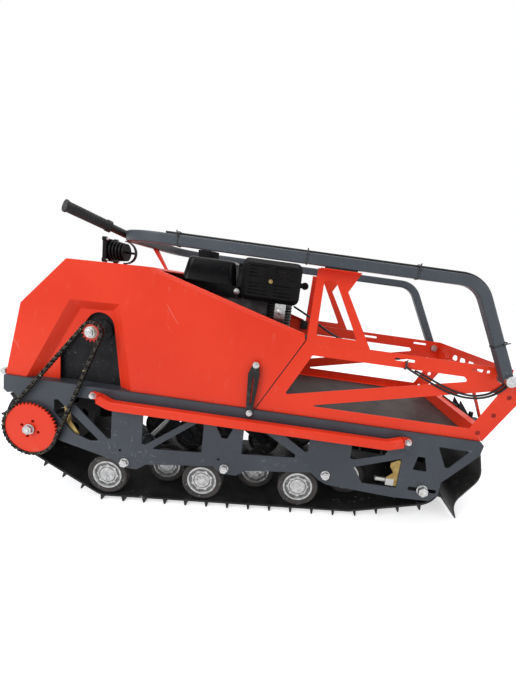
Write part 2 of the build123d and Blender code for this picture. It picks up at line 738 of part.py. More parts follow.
hood = hood_block(hood_sketch, SKIN_OUT, HOOD_FOLD_R)
inner_sketch = offset(hood_sketch, -SKIN_T, kind=Kind.INTERSECTION)
hollow = hood_block(inner_sketch, SKIN_IN, HOOD_FOLD_R - SKIN_T)
for way in (Vector(0, 0, 0), Vector(0, 0, -3 * SKIN_T), slope_way * 6 * SKIN_T):
    hood -= Pos(way) * hollow
lip_half = SKIN_OUT - HOOD_BEVEL - HOOD_LIP
hood -= bar(HOOD_TOP_X + HOOD_OPEN_SETBACK, SEAM_TOP_X + 30, -lip_half, lip_half,
            SEAM_TOP_Z - 50, HOOD_TOP_Z + 50)


def recess(depth, wall):
    """The recess for the chain: a bevelled pocket, grown by a wall thickness."""
    rim = [(-872 - wall, -8), (-724 - wall, 276 + wall), (-565 + wall, 281 + wall), (-513 + wall, -8)]
    sinks = [(1, 0), (0.67, -1), (-1.3, -1), (-1.67, 0)]
    floor = [(x + RECESS_BEVEL * dx, z + RECESS_BEVEL * dz) for (x, z), (dx, dz) in zip(rim, sinks)]
    out = Plane(origin=(0, -SKIN_OUT, 0), x_dir=(1, 0, 0), z_dir=(0, -1, 0))
    pocket = loft([out * flat(rim), out.offset(-depth) * flat(floor)], ruled=True)
    return pocket & bar(DECK_FRONT, SEAM_FOOT_X, -SKIN_OUT, -SKIN_OUT + 2 * depth, SEAT, HOOD_TOP_Z)


hood += recess(RECESS_DEPTH + SKIN_T, SKIN_T)
hood -= recess(RECESS_DEPTH, 0)
arch_x, arch_z = JACK_X + ARCH_SHIFT_X, JACK_Z + ARCH_SHIFT_Z
arch_feet = flat([(-772, -8), (-772, 88), (arch_x, arch_z), (-562, -8)])
arch = make_hull([Pos(arch_x, arch_z) * Edge.make_circle(ARCH_R)] + arch_feet.edges())
hood -= sheet(arch, -SKIN_OUT, -SKIN_OUT + RECESS_DEPTH + 2 * SKIN_T)
nodes["hood"] = hood

# Hinges at the hood's front foot: a barrel with a leaf on the deck's front edge.
hinge_x = DECK_FRONT - SEAT - HINGE_LEAF_T - HINGE_R
hinge_y = SKIN_OUT - HINGE_L
hinge = rod(hinge_x, HINGE_R, HINGE_R, -SKIN_OUT, -hinge_y)
hinge += bar(hinge_x, DECK_FRONT - SEAT, -SKIN_OUT, -hinge_y, -DECK_T, HINGE_LEAF_T)
nodes["hood_hinges"] = pair(hinge)

# Rack sides: sheet with a long diagonal, a rear strip with three holes, a foot flange and a lap
# behind the seam to the hood.
rail_rear = REAR_PANEL_X + PANEL_LAP
rack_sketch = flat([
    (SEAM_FOOT_X + SEAM_GAP, SEAT), (SEAM_TOP_X + SEAM_GAP, RAIL_TOP), (rail_rear, RAIL_TOP),
    (rail_rear, RACK_REAR_TOP), (RACK_REAR_X, RACK_REAR_TOP), (650, SEAT),
])
upper_window = [(60, RAIL_BOTTOM), (545, RAIL_BOTTOM), (561, RAIL_BOTTOM - 14), (-12, RACK_FOOT + 27)]
lower_window = [
    (88, RACK_FOOT + 5), (640, RAIL_BOTTOM - 35), (662, RAIL_BOTTOM - 45), (600, RACK_FOOT), (90, RACK_FOOT),
]
rack_sketch -= [flat(upper_window, 5), flat(lower_window, 2)]
for x, length in ((350, 65), (590, 60)):
    rack_sketch -= Pos(x, LASH_SLOT_Z) * SlotOverall(length, LASH_SLOT_H)
for x, z in ((629, 27), (665, 92), (699, 157)):
    rack_sketch -= Pos(x, z) * Circle(STRIP_HOLE_R)
rack_sketch -= Pos(PIVOT_X, PIVOT_Z) * Circle(PIVOT_R + RUN)
rack_left = sheet(rack_sketch, -SKIN_OUT, -SKIN_IN)
rack_left += bar(SEAM_FOOT_X + 20, DECK_REAR, -SKIN_OUT, -SKIN_OUT + FLANGE, SEAT, SEAT + SKIN_T)
seam_rake = (SEAM_TOP_X - SEAM_FOOT_X) / (SEAM_TOP_Z - SEAT)
lap_y = -SKIN_IN + SEAT
for front, y_a, y_b in ((-SEAM_LAP, lap_y, lap_y + SKIN_T), (SEAM_GAP, -SKIN_IN, lap_y)):
    lap_ends = [(z, SEAM_FOOT_X + seam_rake * z) for z in (RACK_FOOT, RAIL_TOP - SEAM_LAP)]
    lap_edge = [(x + front, z) for z, x in lap_ends]
    lap_edge += [(x + SEAM_GAP + SEAM_LAP, z) for z, x in reversed(lap_ends)]
    rack_left += sheet(flat(lap_edge), y_a, y_b)
nodes["rack_side_left"] = rack_left
nodes["rack_side_right"] = other_side(rack_left)

# Rear panel with a row of slots and a brace down to the hitch, rear beam and floor mat.
panel_half = SKIN_IN - SEAT
panel_foot = RAIL_TOP - REAR_PANEL_H
panel_middle = (REAR_PANEL_X, 0, RAIL_TOP - REAR_PANEL_H / 2)
panel_sketch = Rectangle(2 * panel_half, REAR_PANEL_H)
panel_slot = SlotOverall(PANEL_SLOT_L, PANEL_SLOT_H)
panel_sketch -= GridLocations(PANEL_SLOT_STEP, 1, PANEL_SLOTS, 1) * panel_slot
panel_face = Plane(origin=panel_middle, x_dir=(0, 1, 0), z_dir=(1, 0, 0))
rear_panel = extrude(panel_face * panel_sketch, amount=SKIN_T)
for side in (-1, 1):
    rear_panel += bar(REAR_PANEL_X, REAR_PANEL_X + FLANGE, side * panel_half,
                      side * (panel_half - SKIN_T), panel_foot + 10, RACK_REAR_TOP)
brace_foot_z = TONGUE_TOP + SEAT
brace_foot_x = REAR_PANEL_X + BRACE_RAKE * (panel_foot + BRACE_LAP - brace_foot_z)
brace_edge = [
    (REAR_PANEL_X, panel_foot), (REAR_PANEL_X, panel_foot + BRACE_LAP),
    (REAR_PANEL_X + BRACE_T, panel_foot + BRACE_LAP), (brace_foot_x + BRACE_T, brace_foot_z),
    (brace_foot_x, brace_foot_z),
]
rear_panel += sheet(flat(brace_edge), BRACE_Y - BRACE_W / 2, BRACE_Y + BRACE_W / 2)
nodes["rear_panel"] = rear_panel
floor_half = SKIN_OUT - FLANGE
beam_half = floor_half - 1
beam = bar(REAR_BEAM_X, REAR_BEAM_X + REAR_BEAM_L, -beam_half, beam_half, SEAT, REAR_BEAM_H)
beam -= bar(REAR_BEAM_X + SKIN_T, REAR_BEAM_X + REAR_BEAM_L - SKIN_T, -beam_half, beam_half, 0,
            REAR_BEAM_H - SKIN_T)
nodes["rear_beam"] = beam
mat_half = floor_half - MAT_MARGIN
nodes["floor_mat"] = bar(MAT_FRONT, REAR_BEAM_X - 2, -mat_half, mat_half, SEAT, SEAT + MAT_T)

# Arm rests: A-shaped brackets on the rack's rails, with a flange under the handle's arm.
rest_top = ARM_TOP_Z - ARM_W / 2 - SEAT - REST_PAD_T - SEAT
rest_foot = RAIL_TOP + SEAT
rest_rear = REST_X + REST_TOP_L
rest_sketch = flat([(REST_X - 4, rest_foot), (REST_X, rest_top), (rest_rear, rest_top),
                    (REST_WAIST_X, REST_WAIST_Z), (REST_FOOT_REAR, rest_foot)])
rest_window = [
    (REST_X + 24, rest_top - 34), (REST_X + 58, rest_top - 29), (REST_FOOT_REAR - 46, rest_foot + 22),
    (REST_X + 24, rest_foot + 22),
]
rest_sketch -= flat(rest_window, 4)
rest = sheet(rest_sketch, -SKIN_OUT, -SKIN_IN)
rest += bar(REST_X + 6, rest_rear - 6, -ARM_Y - 12, -SKIN_IN, rest_top - SKIN_T, rest_top)
rest += bar(REST_X, REST_X + SKIN_T, -SKIN_OUT, -SKIN_OUT + FLANGE, rest_foot + 13, rest_top)
nodes["arm_rests"] = pair(rest)
pad = bar(REST_X + 18, REST_X + 18 + REST_PAD_L, -ARM_Y - 10, -ARM_Y + 14, rest_top + SEAT,
          rest_top + SEAT + REST_PAD_T)
nodes["rest_pads"] = pair(pad)

# Guard rails: square tube along each plate, pressed flat to an ear at each end.
rail_y = PLATE_OUT + RAIL_GAP + RAIL_W / 2
rail_path = [(-604, RAIL_Z + 17), (-566, RAIL_Z), (340, RAIL_Z), (386, RAIL_Z + 15)]
rail_ears = [(-632, -26), (408, -32)]
rail = tube([(x, -rail_y, z) for x, z in rail_path], [RAIL_BEND_R, RAIL_BEND_R],
            RectangleRounded(RAIL_W, RAIL_W, RAIL_CORNER_R))
ear_y = -PLATE_OUT - SEAT
for (x, z), (ear_x, ear_z) in zip((rail_path[0], rail_path[-1]), rail_ears):
    way = Vector(x - ear_x, 0, z - ear_z).normalized()
    lips_at = Vector(ear_x, ear_y - RAIL_EAR_T / 2, ear_z) + way * RAIL_EAR_L
    ear_sketch = strip([(ear_x, ear_z), (lips_at.X, lips_at.Z)], 2 * RAIL_EAR_R)
    lips = Plane(origin=lips_at, x_dir=(0, 1, 0), z_dir=way) * Rectangle(RAIL_EAR_T, 2 * RAIL_EAR_R)
    mouth_plane = Plane(origin=(x, -rail_y, z), x_dir=(0, 1, 0), z_dir=way)
    mouth = mouth_plane * Rectangle(RAIL_W - RAIL_CORNER_R / 2, RAIL_W - RAIL_CORNER_R / 2)
    rail += [sheet(ear_sketch, ear_y, ear_y - RAIL_EAR_T), loft([lips, mouth])]
nodes["guard_rail_left"] = rail
nodes["guard_rail_right"] = other_side(rail)

# Engine: crankcase on the deck with the starter on its right, a finned barrel under the muffler.
case = bar(CASE_FRONT, CASE_REAR, CASE_LEFT, CASE_RIGHT, SEAT, ENGINE_SPLIT)
case = fillet(case.edges().filter_by(Axis.Y), 30)
starter_x = (CASE_FRONT + CASE_REAR) / 2
starter = rod(starter_x, ENGINE_SPLIT * 0.6, STARTER_R, CASE_RIGHT, CASE_RIGHT + STARTER_T)
block = case + chamfer(starter.faces().sort_by(Axis.Y)[-1].edges(), STARTER_T / 2)
block += bar(CASE_FRONT + 30, BARREL_X, CASE_LEFT + 10, CASE_RIGHT - 20, ENGINE_SPLIT - 40, ENGINE_TOP)
barrel_half = BARREL_SIDE / 2
block += bar(BARREL_X - barrel_half, BARREL_X + barrel_half, -barrel_half, barrel_half,
             ENGINE_SPLIT - 20, ENGINE_TOP)
for n in range(FIN_COUNT):
    fin_z = ENGINE_TOP - FIN_T / 2 - 8 - n * FIN_STEP
    fin = Pos(BARREL_X + 12, 0, fin_z) * Box(FIN_SIDE, FIN_SIDE, FIN_T)
    block += fillet(fin.edges().filter_by(Axis.Z), 14)
nodes["engine_block"] = block
shroud = bar(CASE_FRONT - 30, SHROUD_REAR, -SHROUD_HALF_W, SHROUD_HALF_W, ENGINE_TOP + SEAT, SHROUD_TOP)
nodes["engine_shroud"] = fillet(shroud.edges().filter_by(Axis.Z), 20)

# Fuel tank: two pressed halves with a seam flange, drawn in towards its top, and a lobed cap.
tank_foot = SHROUD_TOP + SEAT
tank_low = Pos(TANK_X, 0, tank_foot) * RectangleRounded(TANK_L, TANK_W, TANK_CORNER_R)
tank_high = Pos(TANK_X + 4, 0, TANK_TOP) * RectangleRounded(
    TANK_L - 2 * TANK_DRAFT, TANK_W - 2 * TANK_DRAFT, TANK_CORNER_R
)
tank = loft([tank_low, tank_high], ruled=True)
tank = fillet(tank.faces().sort_by(Axis.Z)[-1].edges(), TANK_TOP_R)
seam = RectangleRounded(TANK_L + TANK_SEAM, TANK_W + TANK_SEAM, TANK_CORNER_R)
tank += Pos(TANK_X, 0, tank_foot) * extrude(seam, amount=TANK_SEAM_T)
nodes["fuel_tank"] = tank
cap_sketch = Circle(CAP_R - 3) + PolarLocations(CAP_R - 6, CAP_LOBES) * Circle(6)
cap = Pos(CAP_X, 0, TANK_TOP + SEAT) * extrude(cap_sketch, amount=CAP_H)
nodes["fuel_cap"] = chamfer(cap.faces().sort_by(Axis.Z)[-1].edges(), 2)


# Muffler under a louvred guard with bevelled edges, open at its back; its outlet behind points left.
def guard_box(inset):
    """The guard's block, made smaller by a wall."""
    back = GUARD_RIGHT + inset
    block = bar(GUARD_FRONT + inset, GUARD_REAR - inset, GUARD_LEFT + inset, back, GUARD_LOW + inset,
                GUARD_HIGH - inset)
    block = fillet(block.edges().filter_by(Axis.Y), GUARD_R - inset)
    return chamfer(block.faces().sort_by(Axis.Y)[0].edges(), GUARD_BEVEL)


guard = guard_box(0) - guard_box(GUARD_T)
guard_x, guard_z = (GUARD_FRONT + GUARD_REAR) / 2, (GUARD_LOW + GUARD_HIGH) / 2
louvre = SlotOverall(LOUVRE_L, LOUVRE_H)
for row in range(1, LOUVRE_ROWS + 1):
    louvres = Sketch() + GridLocations(LOUVRE_L + 24, 2 * row * LOUVRE_STEP, 2, 2) * louvre
    guard -= Pos(guard_x, 0, guard_z) * sheet(louvres, GUARD_LEFT - 1, GUARD_LEFT + GUARD_T + 1)
guard -= Pos(GUARD_REAR, PIPE_Y, PIPE_Z) * Rot(0, 90, 0) * Cylinder(PIPE_R + 2, 4 * GUARD_T)
nodes["muffler_guard"] = guard
shell = bar(GUARD_FRONT + MUFFLER_GAP, GUARD_REAR - MUFFLER_GAP, GUARD_LEFT + 15, GUARD_RIGHT - 4,
            GUARD_LOW + 16, GUARD_HIGH - 17)
muffler = fillet(shell.edges().filter_by(Axis.Y), 20)
muffler += bar(guard_x - 40, guard_x + 40, GUARD_RIGHT - 4, 0, GUARD_LOW + 34, GUARD_LOW + 94)
muffler += bar(guard_x - 40, guard_x + 40, GUARD_RIGHT + 2, 0, ENGINE_TOP + SEAT, GUARD_LOW + 40)
outlet_x = GUARD_REAR + PIPE_REACH
pipe_l = outlet_x - (GUARD_REAR - MUFFLER_GAP - 10)
muffler += Pos(outlet_x - pipe_l / 2, PIPE_Y, PIPE_Z) * Rot(0, 90, 0) * Cylinder(PIPE_R, pipe_l)
muffler += rod(outlet_x, PIPE_Z, OUTLET_R, PIPE_Y - OUTLET_L / 2, PIPE_Y + OUTLET_L / 2)
muffler -= rod(outlet_x, PIPE_Z, OUTLET_BORE_R, PIPE_Y - OUTLET_L / 2, PIPE_Y)
nodes["muffler"] = muffler
cleaner = bar(GUARD_FRONT + 18, GUARD_REAR - 11, 40, 165, ENGINE_TOP + SEAT, CLEANER_TOP)
cleaner = fillet(cleaner.edges().filter_by(Axis.Z), 22)
cleaner = fillet(cleaner.faces().sort_by(Axis.Z)[-1].edges(), 10)
nodes["air_cleaner"] = cleaner

# Headlamp on the hood: a round strap on a foot, a body with an eared square bezel, round fins and
# a cable gland that the strap holds, and a lens.
hood_rise = (HOOD_TOP_Z - HOOD_BROW_Z) / (HOOD_TOP_X - HOOD_BROW_X)
lamp_foot = HOOD_BROW_Z + (STRAP_X + BRACKET_W / 2 - HOOD_BROW_X) * hood_rise + SEAT
lamp_z = lamp_foot + LAMP_LIFT + LAMP_W / 2
bracket = bar(STRAP_X - BRACKET_W / 2, STRAP_X + BRACKET_W / 2, -STRAP_W, STRAP_W, lamp_foot,
              lamp_foot + BRACKET_T)
bracket += bar(STRAP_X - STRAP_T, STRAP_X + STRAP_T, -STRAP_W / 2, STRAP_W / 2, lamp_foot,
               lamp_z - STRAP_R + STRAP_T)
strap = Circle(STRAP_R) - Circle(STRAP_R - STRAP_T)
strap -= Pos(-STRAP_R, 0) * Rectangle(2 * STRAP_R, 2 * STRAP_R)
bracket += Pos(STRAP_X, 0, lamp_z) * sheet(strap, -STRAP_W / 2, STRAP_W / 2)
nodes["lamp_bracket"] = bracket


def lamp_disc(x, sketch, length):
    """A piece of the lamp, drawn across its axis and pushed rearward."""
    across = Plane(origin=(x, 0, lamp_z), x_dir=(0, 1, 0), z_dir=(1, 0, 0))
    return extrude(across * sketch, amount=length)


ear_step = LAMP_W - 2 * LAMP_EAR_INSET
bezel = RectangleRounded(LAMP_W, LAMP_W, LAMP_CORNER_R)
bezel += GridLocations(ear_step, ear_step, 2, 2) * Circle(LAMP_EAR_R)
lamp = lamp_disc(LAMP_X, bezel, BEZEL_T)
lamp += lamp_disc(LAMP_X, Circle(LAMP_BACK_R), LAMP_L)
fin_step = (LAMP_L - BEZEL_T) / LAMP_FINS
for n in range(LAMP_FINS):
    fin = Circle(LAMP_FIN_R - LAMP_FIN_STEP_R * n)
    lamp += lamp_disc(LAMP_X + BEZEL_T + (n + 0.5) * fin_step, fin, fin_step / 2)
lamp_rear = LAMP_X + LAMP_L
lamp += lamp_disc(lamp_rear, Circle(GLAND_R), STRAP_X + STRAP_R - STRAP_T - SEAT - lamp_rear)
nodes["headlamp"] = lamp
nodes["lamp_lens"] = lamp_disc(LAMP_X - SEAT - LENS_T, Circle(LENS_R), LENS_T)

# Rubber latches of the hood: a pointed strap with a long slot, over a hook on the hood.
latch_edge = [
    (LATCH_X - 18, LATCH_NECK), (LATCH_X - 3, LATCH_TOP), (LATCH_X + 11, LATCH_TOP),
    (LATCH_X + 19, LATCH_NECK), (LATCH_X + 9, LATCH_FOOT), (LATCH_X - 11, LATCH_FOOT),
]
latch_slot = Rot(0, 0, 90) * SlotOverall(LATCH_NECK - 30, LATCH_SLOT_W)
latch_sketch = flat(latch_edge, 4) - Pos(LATCH_X, LATCH_NECK / 2 + 5) * latch_slot
latch = sheet(latch_sketch, -PLATE_OUT - SEAT, -PLATE_OUT - SEAT - LATCH_T)
latch += rod(LATCH_X + 4, LATCH_TOP - 7, 5, -PLATE_OUT - 2, -SKIN_OUT - SEAT)
nodes["hood_latches"] = pair(latch)

# Stay on the hood under the handle's cross tube: a bent strip with a foot.
stay_top = ARM_TOP_Z - ARM_W / 2 - SEAT
stay_rear = STAY_FOOT_X + STAY_FOOT_L / 2
stay_foot = HOOD_BROW_Z + (stay_rear - HOOD_BROW_X) * hood_rise + SEAT
stay = bar(stay_rear - STAY_FOOT_L, stay_rear, -STAY_W, STAY_W, stay_foot, stay_foot + SKIN_T)
stay_edge = [
    (STAY_FOOT_X - STAY_T / 2, stay_foot), (STAY_FOOT_X + STAY_T / 2, stay_foot),
    (STAY_HEAD_X + STAY_T, stay_top), (STAY_HEAD_X - STAY_T, stay_top),
]
stay += sheet(flat(stay_edge), -STAY_W / 2, STAY_W / 2)
nodes["handle_stay"] = stay

# Snow flap: a curved rubber sheet behind the track.
flap_top = -DECK_T - SEAT - FLAP_T / 2
flap_start_x = DECK_REAR - 50
flap_line = [(flap_start_x, flap_top), (664, flap_top), (706, -150), (628, -262), (652, -316)]
flap_path = bent_path([(x, 0, z) for x, z in flap_line], [22, 70, 60])
flap_start = Plane(origin=(flap_start_x, 0, flap_top), z_dir=(1, 0, 0), x_dir=(0, 1, 0))
nodes["snow_flap"] = sweep(flap_start * Rectangle(TRACK_W - 2 * FLAP_MARGIN, FLAP_T), path=flap_path)

# Tow hitch on the rear beam: a back plate, two fins that reach down behind the flap, and a tongue
# between them with an upright pin for a drawbar's eye.
hitch_x = REAR_BEAM_X + REAR_BEAM_L + SEAT
tongue_foot = TONGUE_TOP - TONGUE_T
hitch = bar(hitch_x, hitch_x + HITCH_PLATE_T, -TONGUE_W / 2 - 20, TONGUE_W / 2 + 20, SEAT, REAR_BEAM_H + 5)
hitch += bar(TONGUE_FRONT, TONGUE_REAR, -TONGUE_W / 2, TONGUE_W / 2, tongue_foot, TONGUE_TOP)
fin_edge = [
    (hitch_x, SEAT), (hitch_x, REAR_BEAM_H), (hitch_x + 12, REAR_BEAM_H), (hitch_x + 24, 16),
    (hitch_x + 30, 18), (hitch_x + 33, 60), (TOW_PIN_X - 4, TONGUE_TOP + 5), (TOW_PIN_X - 4, tongue_foot),
    (TONGUE_FRONT, tongue_foot), (hitch_x + 24, SEAT),
]
hitch_fin = sheet(flat(fin_edge), GUSSET_Y, GUSSET_Y + GUSSET_T)
hitch += [hitch_fin, other_side(hitch_fin)]
hitch += Pos(TOW_PIN_X, 0, TONGUE_TOP + TOW_PIN_L / 2) * Cylinder(TOW_PIN_R, TOW_PIN_L)
nodes["tow_hitch"] = hitch

# Handle pivots: a bolt through each rack side, with a spacer behind the arm.
arm_out = ARM_Y + ARM_W / 2
arm_in = ARM_Y - ARM_W / 2
pivot_tip = -arm_out - PIVOT_PLAY - PIVOT_HEAD_T
pivot_nut = -SKIN_IN + 12
pivot = rod(PIVOT_X, PIVOT_Z, PIVOT_R, pivot_tip, pivot_nut)
pivot += rod(PIVOT_X, PIVOT_Z, PIVOT_HEAD_R, pivot_tip, pivot_tip + PIVOT_HEAD_T)
pivot += rod(PIVOT_X, PIVOT_Z, PIVOT_HEAD_R, -arm_in + PIVOT_PLAY, -SKIN_OUT - SEAT)
pivot += rod(PIVOT_X, PIVOT_Z, PIVOT_NUT_R, -SKIN_IN + SEAT, pivot_nut)
nodes["pivot_bolts"] = pair(pivot)

# Tow handle: one bent square tube with round feet, and a round stub for each grip.
fall_x, fall_z = PIVOT_X - ARM_TOP_X, PIVOT_Z - ARM_TOP_Z
arm_length = hypot(fall_x, fall_z)
handle = tube(
    [
        (PIVOT_X, -ARM_Y, PIVOT_Z), (ARM_TOP_X, -ARM_Y, ARM_TOP_Z), (CROSS_X, -ARM_Y, ARM_TOP_Z),
        (CROSS_X, ARM_Y, ARM_TOP_Z), (ARM_TOP_X, ARM_Y, ARM_TOP_Z), (PIVOT_X, ARM_Y, PIVOT_Z),
    ],
    [ARM_BEND_R, CROSS_BEND_R, CROSS_BEND_R, ARM_BEND_R],
    RectangleRounded(ARM_W, ARM_W, ARM_CORNER_R),
)
grips = []
for side in (-1, 1):
    foot_in, foot_out = arm_in + ARM_CORNER_R, arm_out - ARM_CORNER_R
    handle += rod(PIVOT_X, PIVOT_Z, ARM_W / 2, side * foot_in, side * foot_out)
    root = Vector(CROSS_X - 3, side * (ARM_Y - STUB_ROOT_INSET), ARM_TOP_Z)
    tip = Vector(GRIP_TIP_X, side * (ARM_Y + GRIP_SPREAD), GRIP_TIP_Z)
    way = (tip - root).normalized()
    stub_l = (tip - root).length - GRIP_WALL
    handle += extrude(Plane(origin=root, z_dir=way) * Circle(STUB_R), amount=stub_l)
    handle -= rod(PIVOT_X, PIVOT_Z, PIVOT_R + RUN, side * (arm_in - 1), side * (arm_out + 1))
    grip_plane = Plane(origin=tip, z_dir=way * -1)
    grip = extrude(grip_plane * Circle(GRIP_R), amount=GRIP_L)
    grip += extrude(grip_plane * Circle(GRIP_RING_R), amount=GRIP_RING_T)
    collar_plane = grip_plane.offset(GRIP_L - GRIP_COLLAR_L)
    grip += extrude(collar_plane * Circle(GRIP_RING_R), amount=GRIP_COLLAR_L)
    grip -= extrude(grip_plane.offset(GRIP_WALL - SEAT) * Circle(STUB_R + SEAT), amount=GRIP_L)
    grips.append(grip)
nodes["tow_handle"] = handle
nodes["grips"] = Compound(grips)

# Throttle cable tied along the top of the left arm.
lift = ARM_W / 2 + CABLE_R + SEAT
side_x, side_z = -fall_z / arm_length * lift, fall_x / arm_length * lift
corner_turn = acos(fall_x / arm_length) / 2
cable = tube(
    [
        (CABLE_FRONT, -ARM_Y, ARM_TOP_Z + lift),
        (ARM_TOP_X + lift * tan(corner_turn), -ARM_Y, ARM_TOP_Z + lift),
        (PIVOT_X - fall_x / arm_length * CABLE_END + side_x, -ARM_Y,
         PIVOT_Z - fall_z / arm_length * CABLE_END + side_z),
    ],
    [ARM_BEND_R + lift],
    Circle(CABLE_R),
)
nodes["throttle_cable"] = cable

# Free cables: one from the engine to the slot in the left rail, and two strands that hang from
# there to the handle's left pivot. Points are x, y and z along each.
strand_y = -SKIN_OUT - SEAT - CABLE_R
inner_y = -SKIN_IN + SEAT + CABLE_R
cable_routes = {
    "engine_cable": [
        (-22, -100, 340), (33, -180, 320), (72, -228, 296), (133, -254, 268), (240, inner_y, 240),
        (334, inner_y, 231),
    ],
    "cable_loop": [(x, strand_y, z) for x, z in (
        (354, 212), (372, 202), (423, 180), (476, 157), (527, 142), (576, 138), (622, 147), (660, 169),
        (686, 198), (694, 228),
    )],
    "cable_loop_inner": [
        (392, -262, 200), (418, -274, 192), (450, strand_y, 179), (496, strand_y, 161), (541, strand_y, 150),
        (584, strand_y, 147), (624, strand_y, 158), (652, strand_y, 177), (676, strand_y, 204),
    ],
}
for name, route in cable_routes.items():
    route = [Vector(point) for point in route]
    radii = []
    for before, here, after in zip(route, route[1:], route[2:]):
        shorter = min((here - before).length, (after - here).length)
        turn = radians((here - before).get_angle(after - here))
        radii.append(CABLE_BEND_SHARE * shorter / tan(turn / 2))
    nodes[name] = tube(route, radii, Circle(CABLE_R))

# The whole machine, pitched onto its wheels and centred over the ground.
pitched = {name: Rot(0, DECK_PITCH, 0) * piece for name, piece in nodes.items()}
box = Compound([p for n, p in pitched.items() if n not in cable_routes]).bounding_box()
home = Pos(-(box.min.X + box.max.X) / 2, 0, -box.min.Z)
print("placed by", home.position, "size", box.size)

os.makedirs("parts", exist_ok=True)
for name, piece in pitched.items():
    export_step(home * piece, f"parts/{name}.step")
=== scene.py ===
"""A tracked snow tug: a rubber track under a steel tunnel, an engine behind a folded hood, a cargo
rack and a tow handle that lies folded forward."""

from math import asin, atan2, cos, pi, radians, sin, sqrt

import bmesh
import bpy
from mathutils import Matrix, Vector


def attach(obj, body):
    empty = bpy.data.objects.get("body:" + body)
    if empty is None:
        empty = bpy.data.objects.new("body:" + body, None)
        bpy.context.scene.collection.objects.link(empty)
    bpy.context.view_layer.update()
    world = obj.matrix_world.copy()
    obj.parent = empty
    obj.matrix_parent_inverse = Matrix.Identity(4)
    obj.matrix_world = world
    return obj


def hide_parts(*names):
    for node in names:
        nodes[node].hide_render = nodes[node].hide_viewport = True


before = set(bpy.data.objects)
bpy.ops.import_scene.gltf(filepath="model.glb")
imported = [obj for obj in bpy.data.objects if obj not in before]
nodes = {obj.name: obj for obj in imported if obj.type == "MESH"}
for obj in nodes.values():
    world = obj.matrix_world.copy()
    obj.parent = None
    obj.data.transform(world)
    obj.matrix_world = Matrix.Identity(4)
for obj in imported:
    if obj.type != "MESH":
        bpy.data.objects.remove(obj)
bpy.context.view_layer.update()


# Stage: a white floor that keeps the machine's shadow, white surroundings, soft light from above
# and from the viewer's left, and a camera low at the machine's left side.
class Wire:
    """A value in a node tree. Sums, differences and products of such values add nodes to the tree."""

    def __init__(self, tree, socket):
        self.tree = tree
        self.socket = socket

    def node(self, kind, settings, inputs, output=0):
        """A new node with its settings, fed with values or other wires; the wire from one output."""
        made = self.tree.nodes.new(kind)
        for key, value in settings.items():
            setattr(made, key, value)
        for key, value in inputs.items():
            if isinstance(value, Wire):
                self.tree.links.new(value.socket, made.inputs[key])
            else:
                made.inputs[key].default_value = value
        return Wire(self.tree, made.outputs[output])

    def maths(self, operation, *others):
        return self.node("ShaderNodeMath", {"operation": operation}, dict(enumerate((self, *others))))

    def __add__(self, other):
        return self.maths("ADD", other)

    __radd__ = __add__

    def __sub__(self, other):
        return self.maths("SUBTRACT", other)

    def __rsub__(self, other):
        return self.node("ShaderNodeMath", {"operation": "SUBTRACT"}, {0: other, 1: self})

    def __mul__(self, other):
        return self.maths("MULTIPLY", other)

    __rmul__ = __mul__

    def ramp(self, low, high):
        """Nought below low, one above high, smooth between."""
        values = {0: self, 1: low, 2: high, 3: 0.0, 4: 1.0}
        return self.node("ShaderNodeMapRange", {"interpolation_type": "SMOOTHSTEP"}, values)

    def mix(self, first, second):
        """From the first colour to the second as this value goes from nought to one."""
        return self.node("ShaderNodeMix", {"data_type": "RGBA"}, {0: self, 6: first, 7: second}, 2)

    def axis(self, letter):
        return self.node("ShaderNodeSeparateXYZ", {}, {0: self}, letter)

    def stretch(self, along):
        return self.node("ShaderNodeVectorMath", {"operation": "MULTIPLY"}, {0: self, 1: along})

    def noise(self, scale, detail):
        return self.node("ShaderNodeTexNoise", {}, {"Vector": self, "Scale": scale, "Detail": detail})

    def clouds(self, scale, detail, first, second):
        """Soft patches of two colours over a place."""
        return self.noise(scale, detail).ramp(0.3, 0.7).mix(first, second)

    def to(self, shader, socket):
        self.tree.links.new(self.socket, shader.inputs[socket])

    def bump(self, shader, strength, distance):
        values = {"Height": self, "Strength": strength, "Distance": distance}
        self.node("ShaderNodeBump", {}, values).to(shader, "Normal")


def seen(tree):
    """One for what the camera sees, straight or in a mirror or through glass; nought for light."""
    path = tree.nodes.new("ShaderNodeLightPath")
    rays = [Wire(tree, path.outputs[f"Is {kind} Ray"]) for kind in ("Camera", "Glossy", "Transmission")]
    return (rays[0] + rays[1] + rays[2]).maths("MINIMUM", 1.0)


scene = bpy.context.scene
scene.view_settings.view_transform = "Standard"
camera = bpy.data.objects.new("camera", bpy.data.cameras.new("camera"))
camera.location = (0.130836, -1.3072, 0.7803)
camera.rotation_euler = (radians(79.336), radians(-2.766), radians(2.011))
camera.data.lens = 17.29
camera.data.shift_x = -0.04765
camera.data.shift_y = 0.01249
camera.data.clip_start = 0.01
scene.collection.objects.link(camera)
scene.camera = camera

floor_form = bmesh.new()
bmesh.ops.create_grid(floor_form, x_segments=1, y_segments=1, size=40.0)
floor_mesh = bpy.data.meshes.new("floor")
floor_form.to_mesh(floor_mesh)
floor = bpy.data.objects.new("floor", floor_mesh)
scene.collection.objects.link(floor)
floor_white = bpy.data.materials.new("floor_white")
floor_white.use_nodes = True
floor_shader = floor_white.node_tree.nodes["Principled BSDF"]
floor_shader.inputs["Base Color"].default_value = (0.86, 0.86, 0.87, 1)
floor_shader.inputs["Roughness"].default_value = 0.9
floor_shader.inputs["Emission Strength"].default_value = 0.58
seen(floor_white.node_tree).mix((0, 0, 0, 1), (1, 1, 1, 1)).to(floor_shader, "Emission Color")
floor_mesh.materials.append(floor_white)

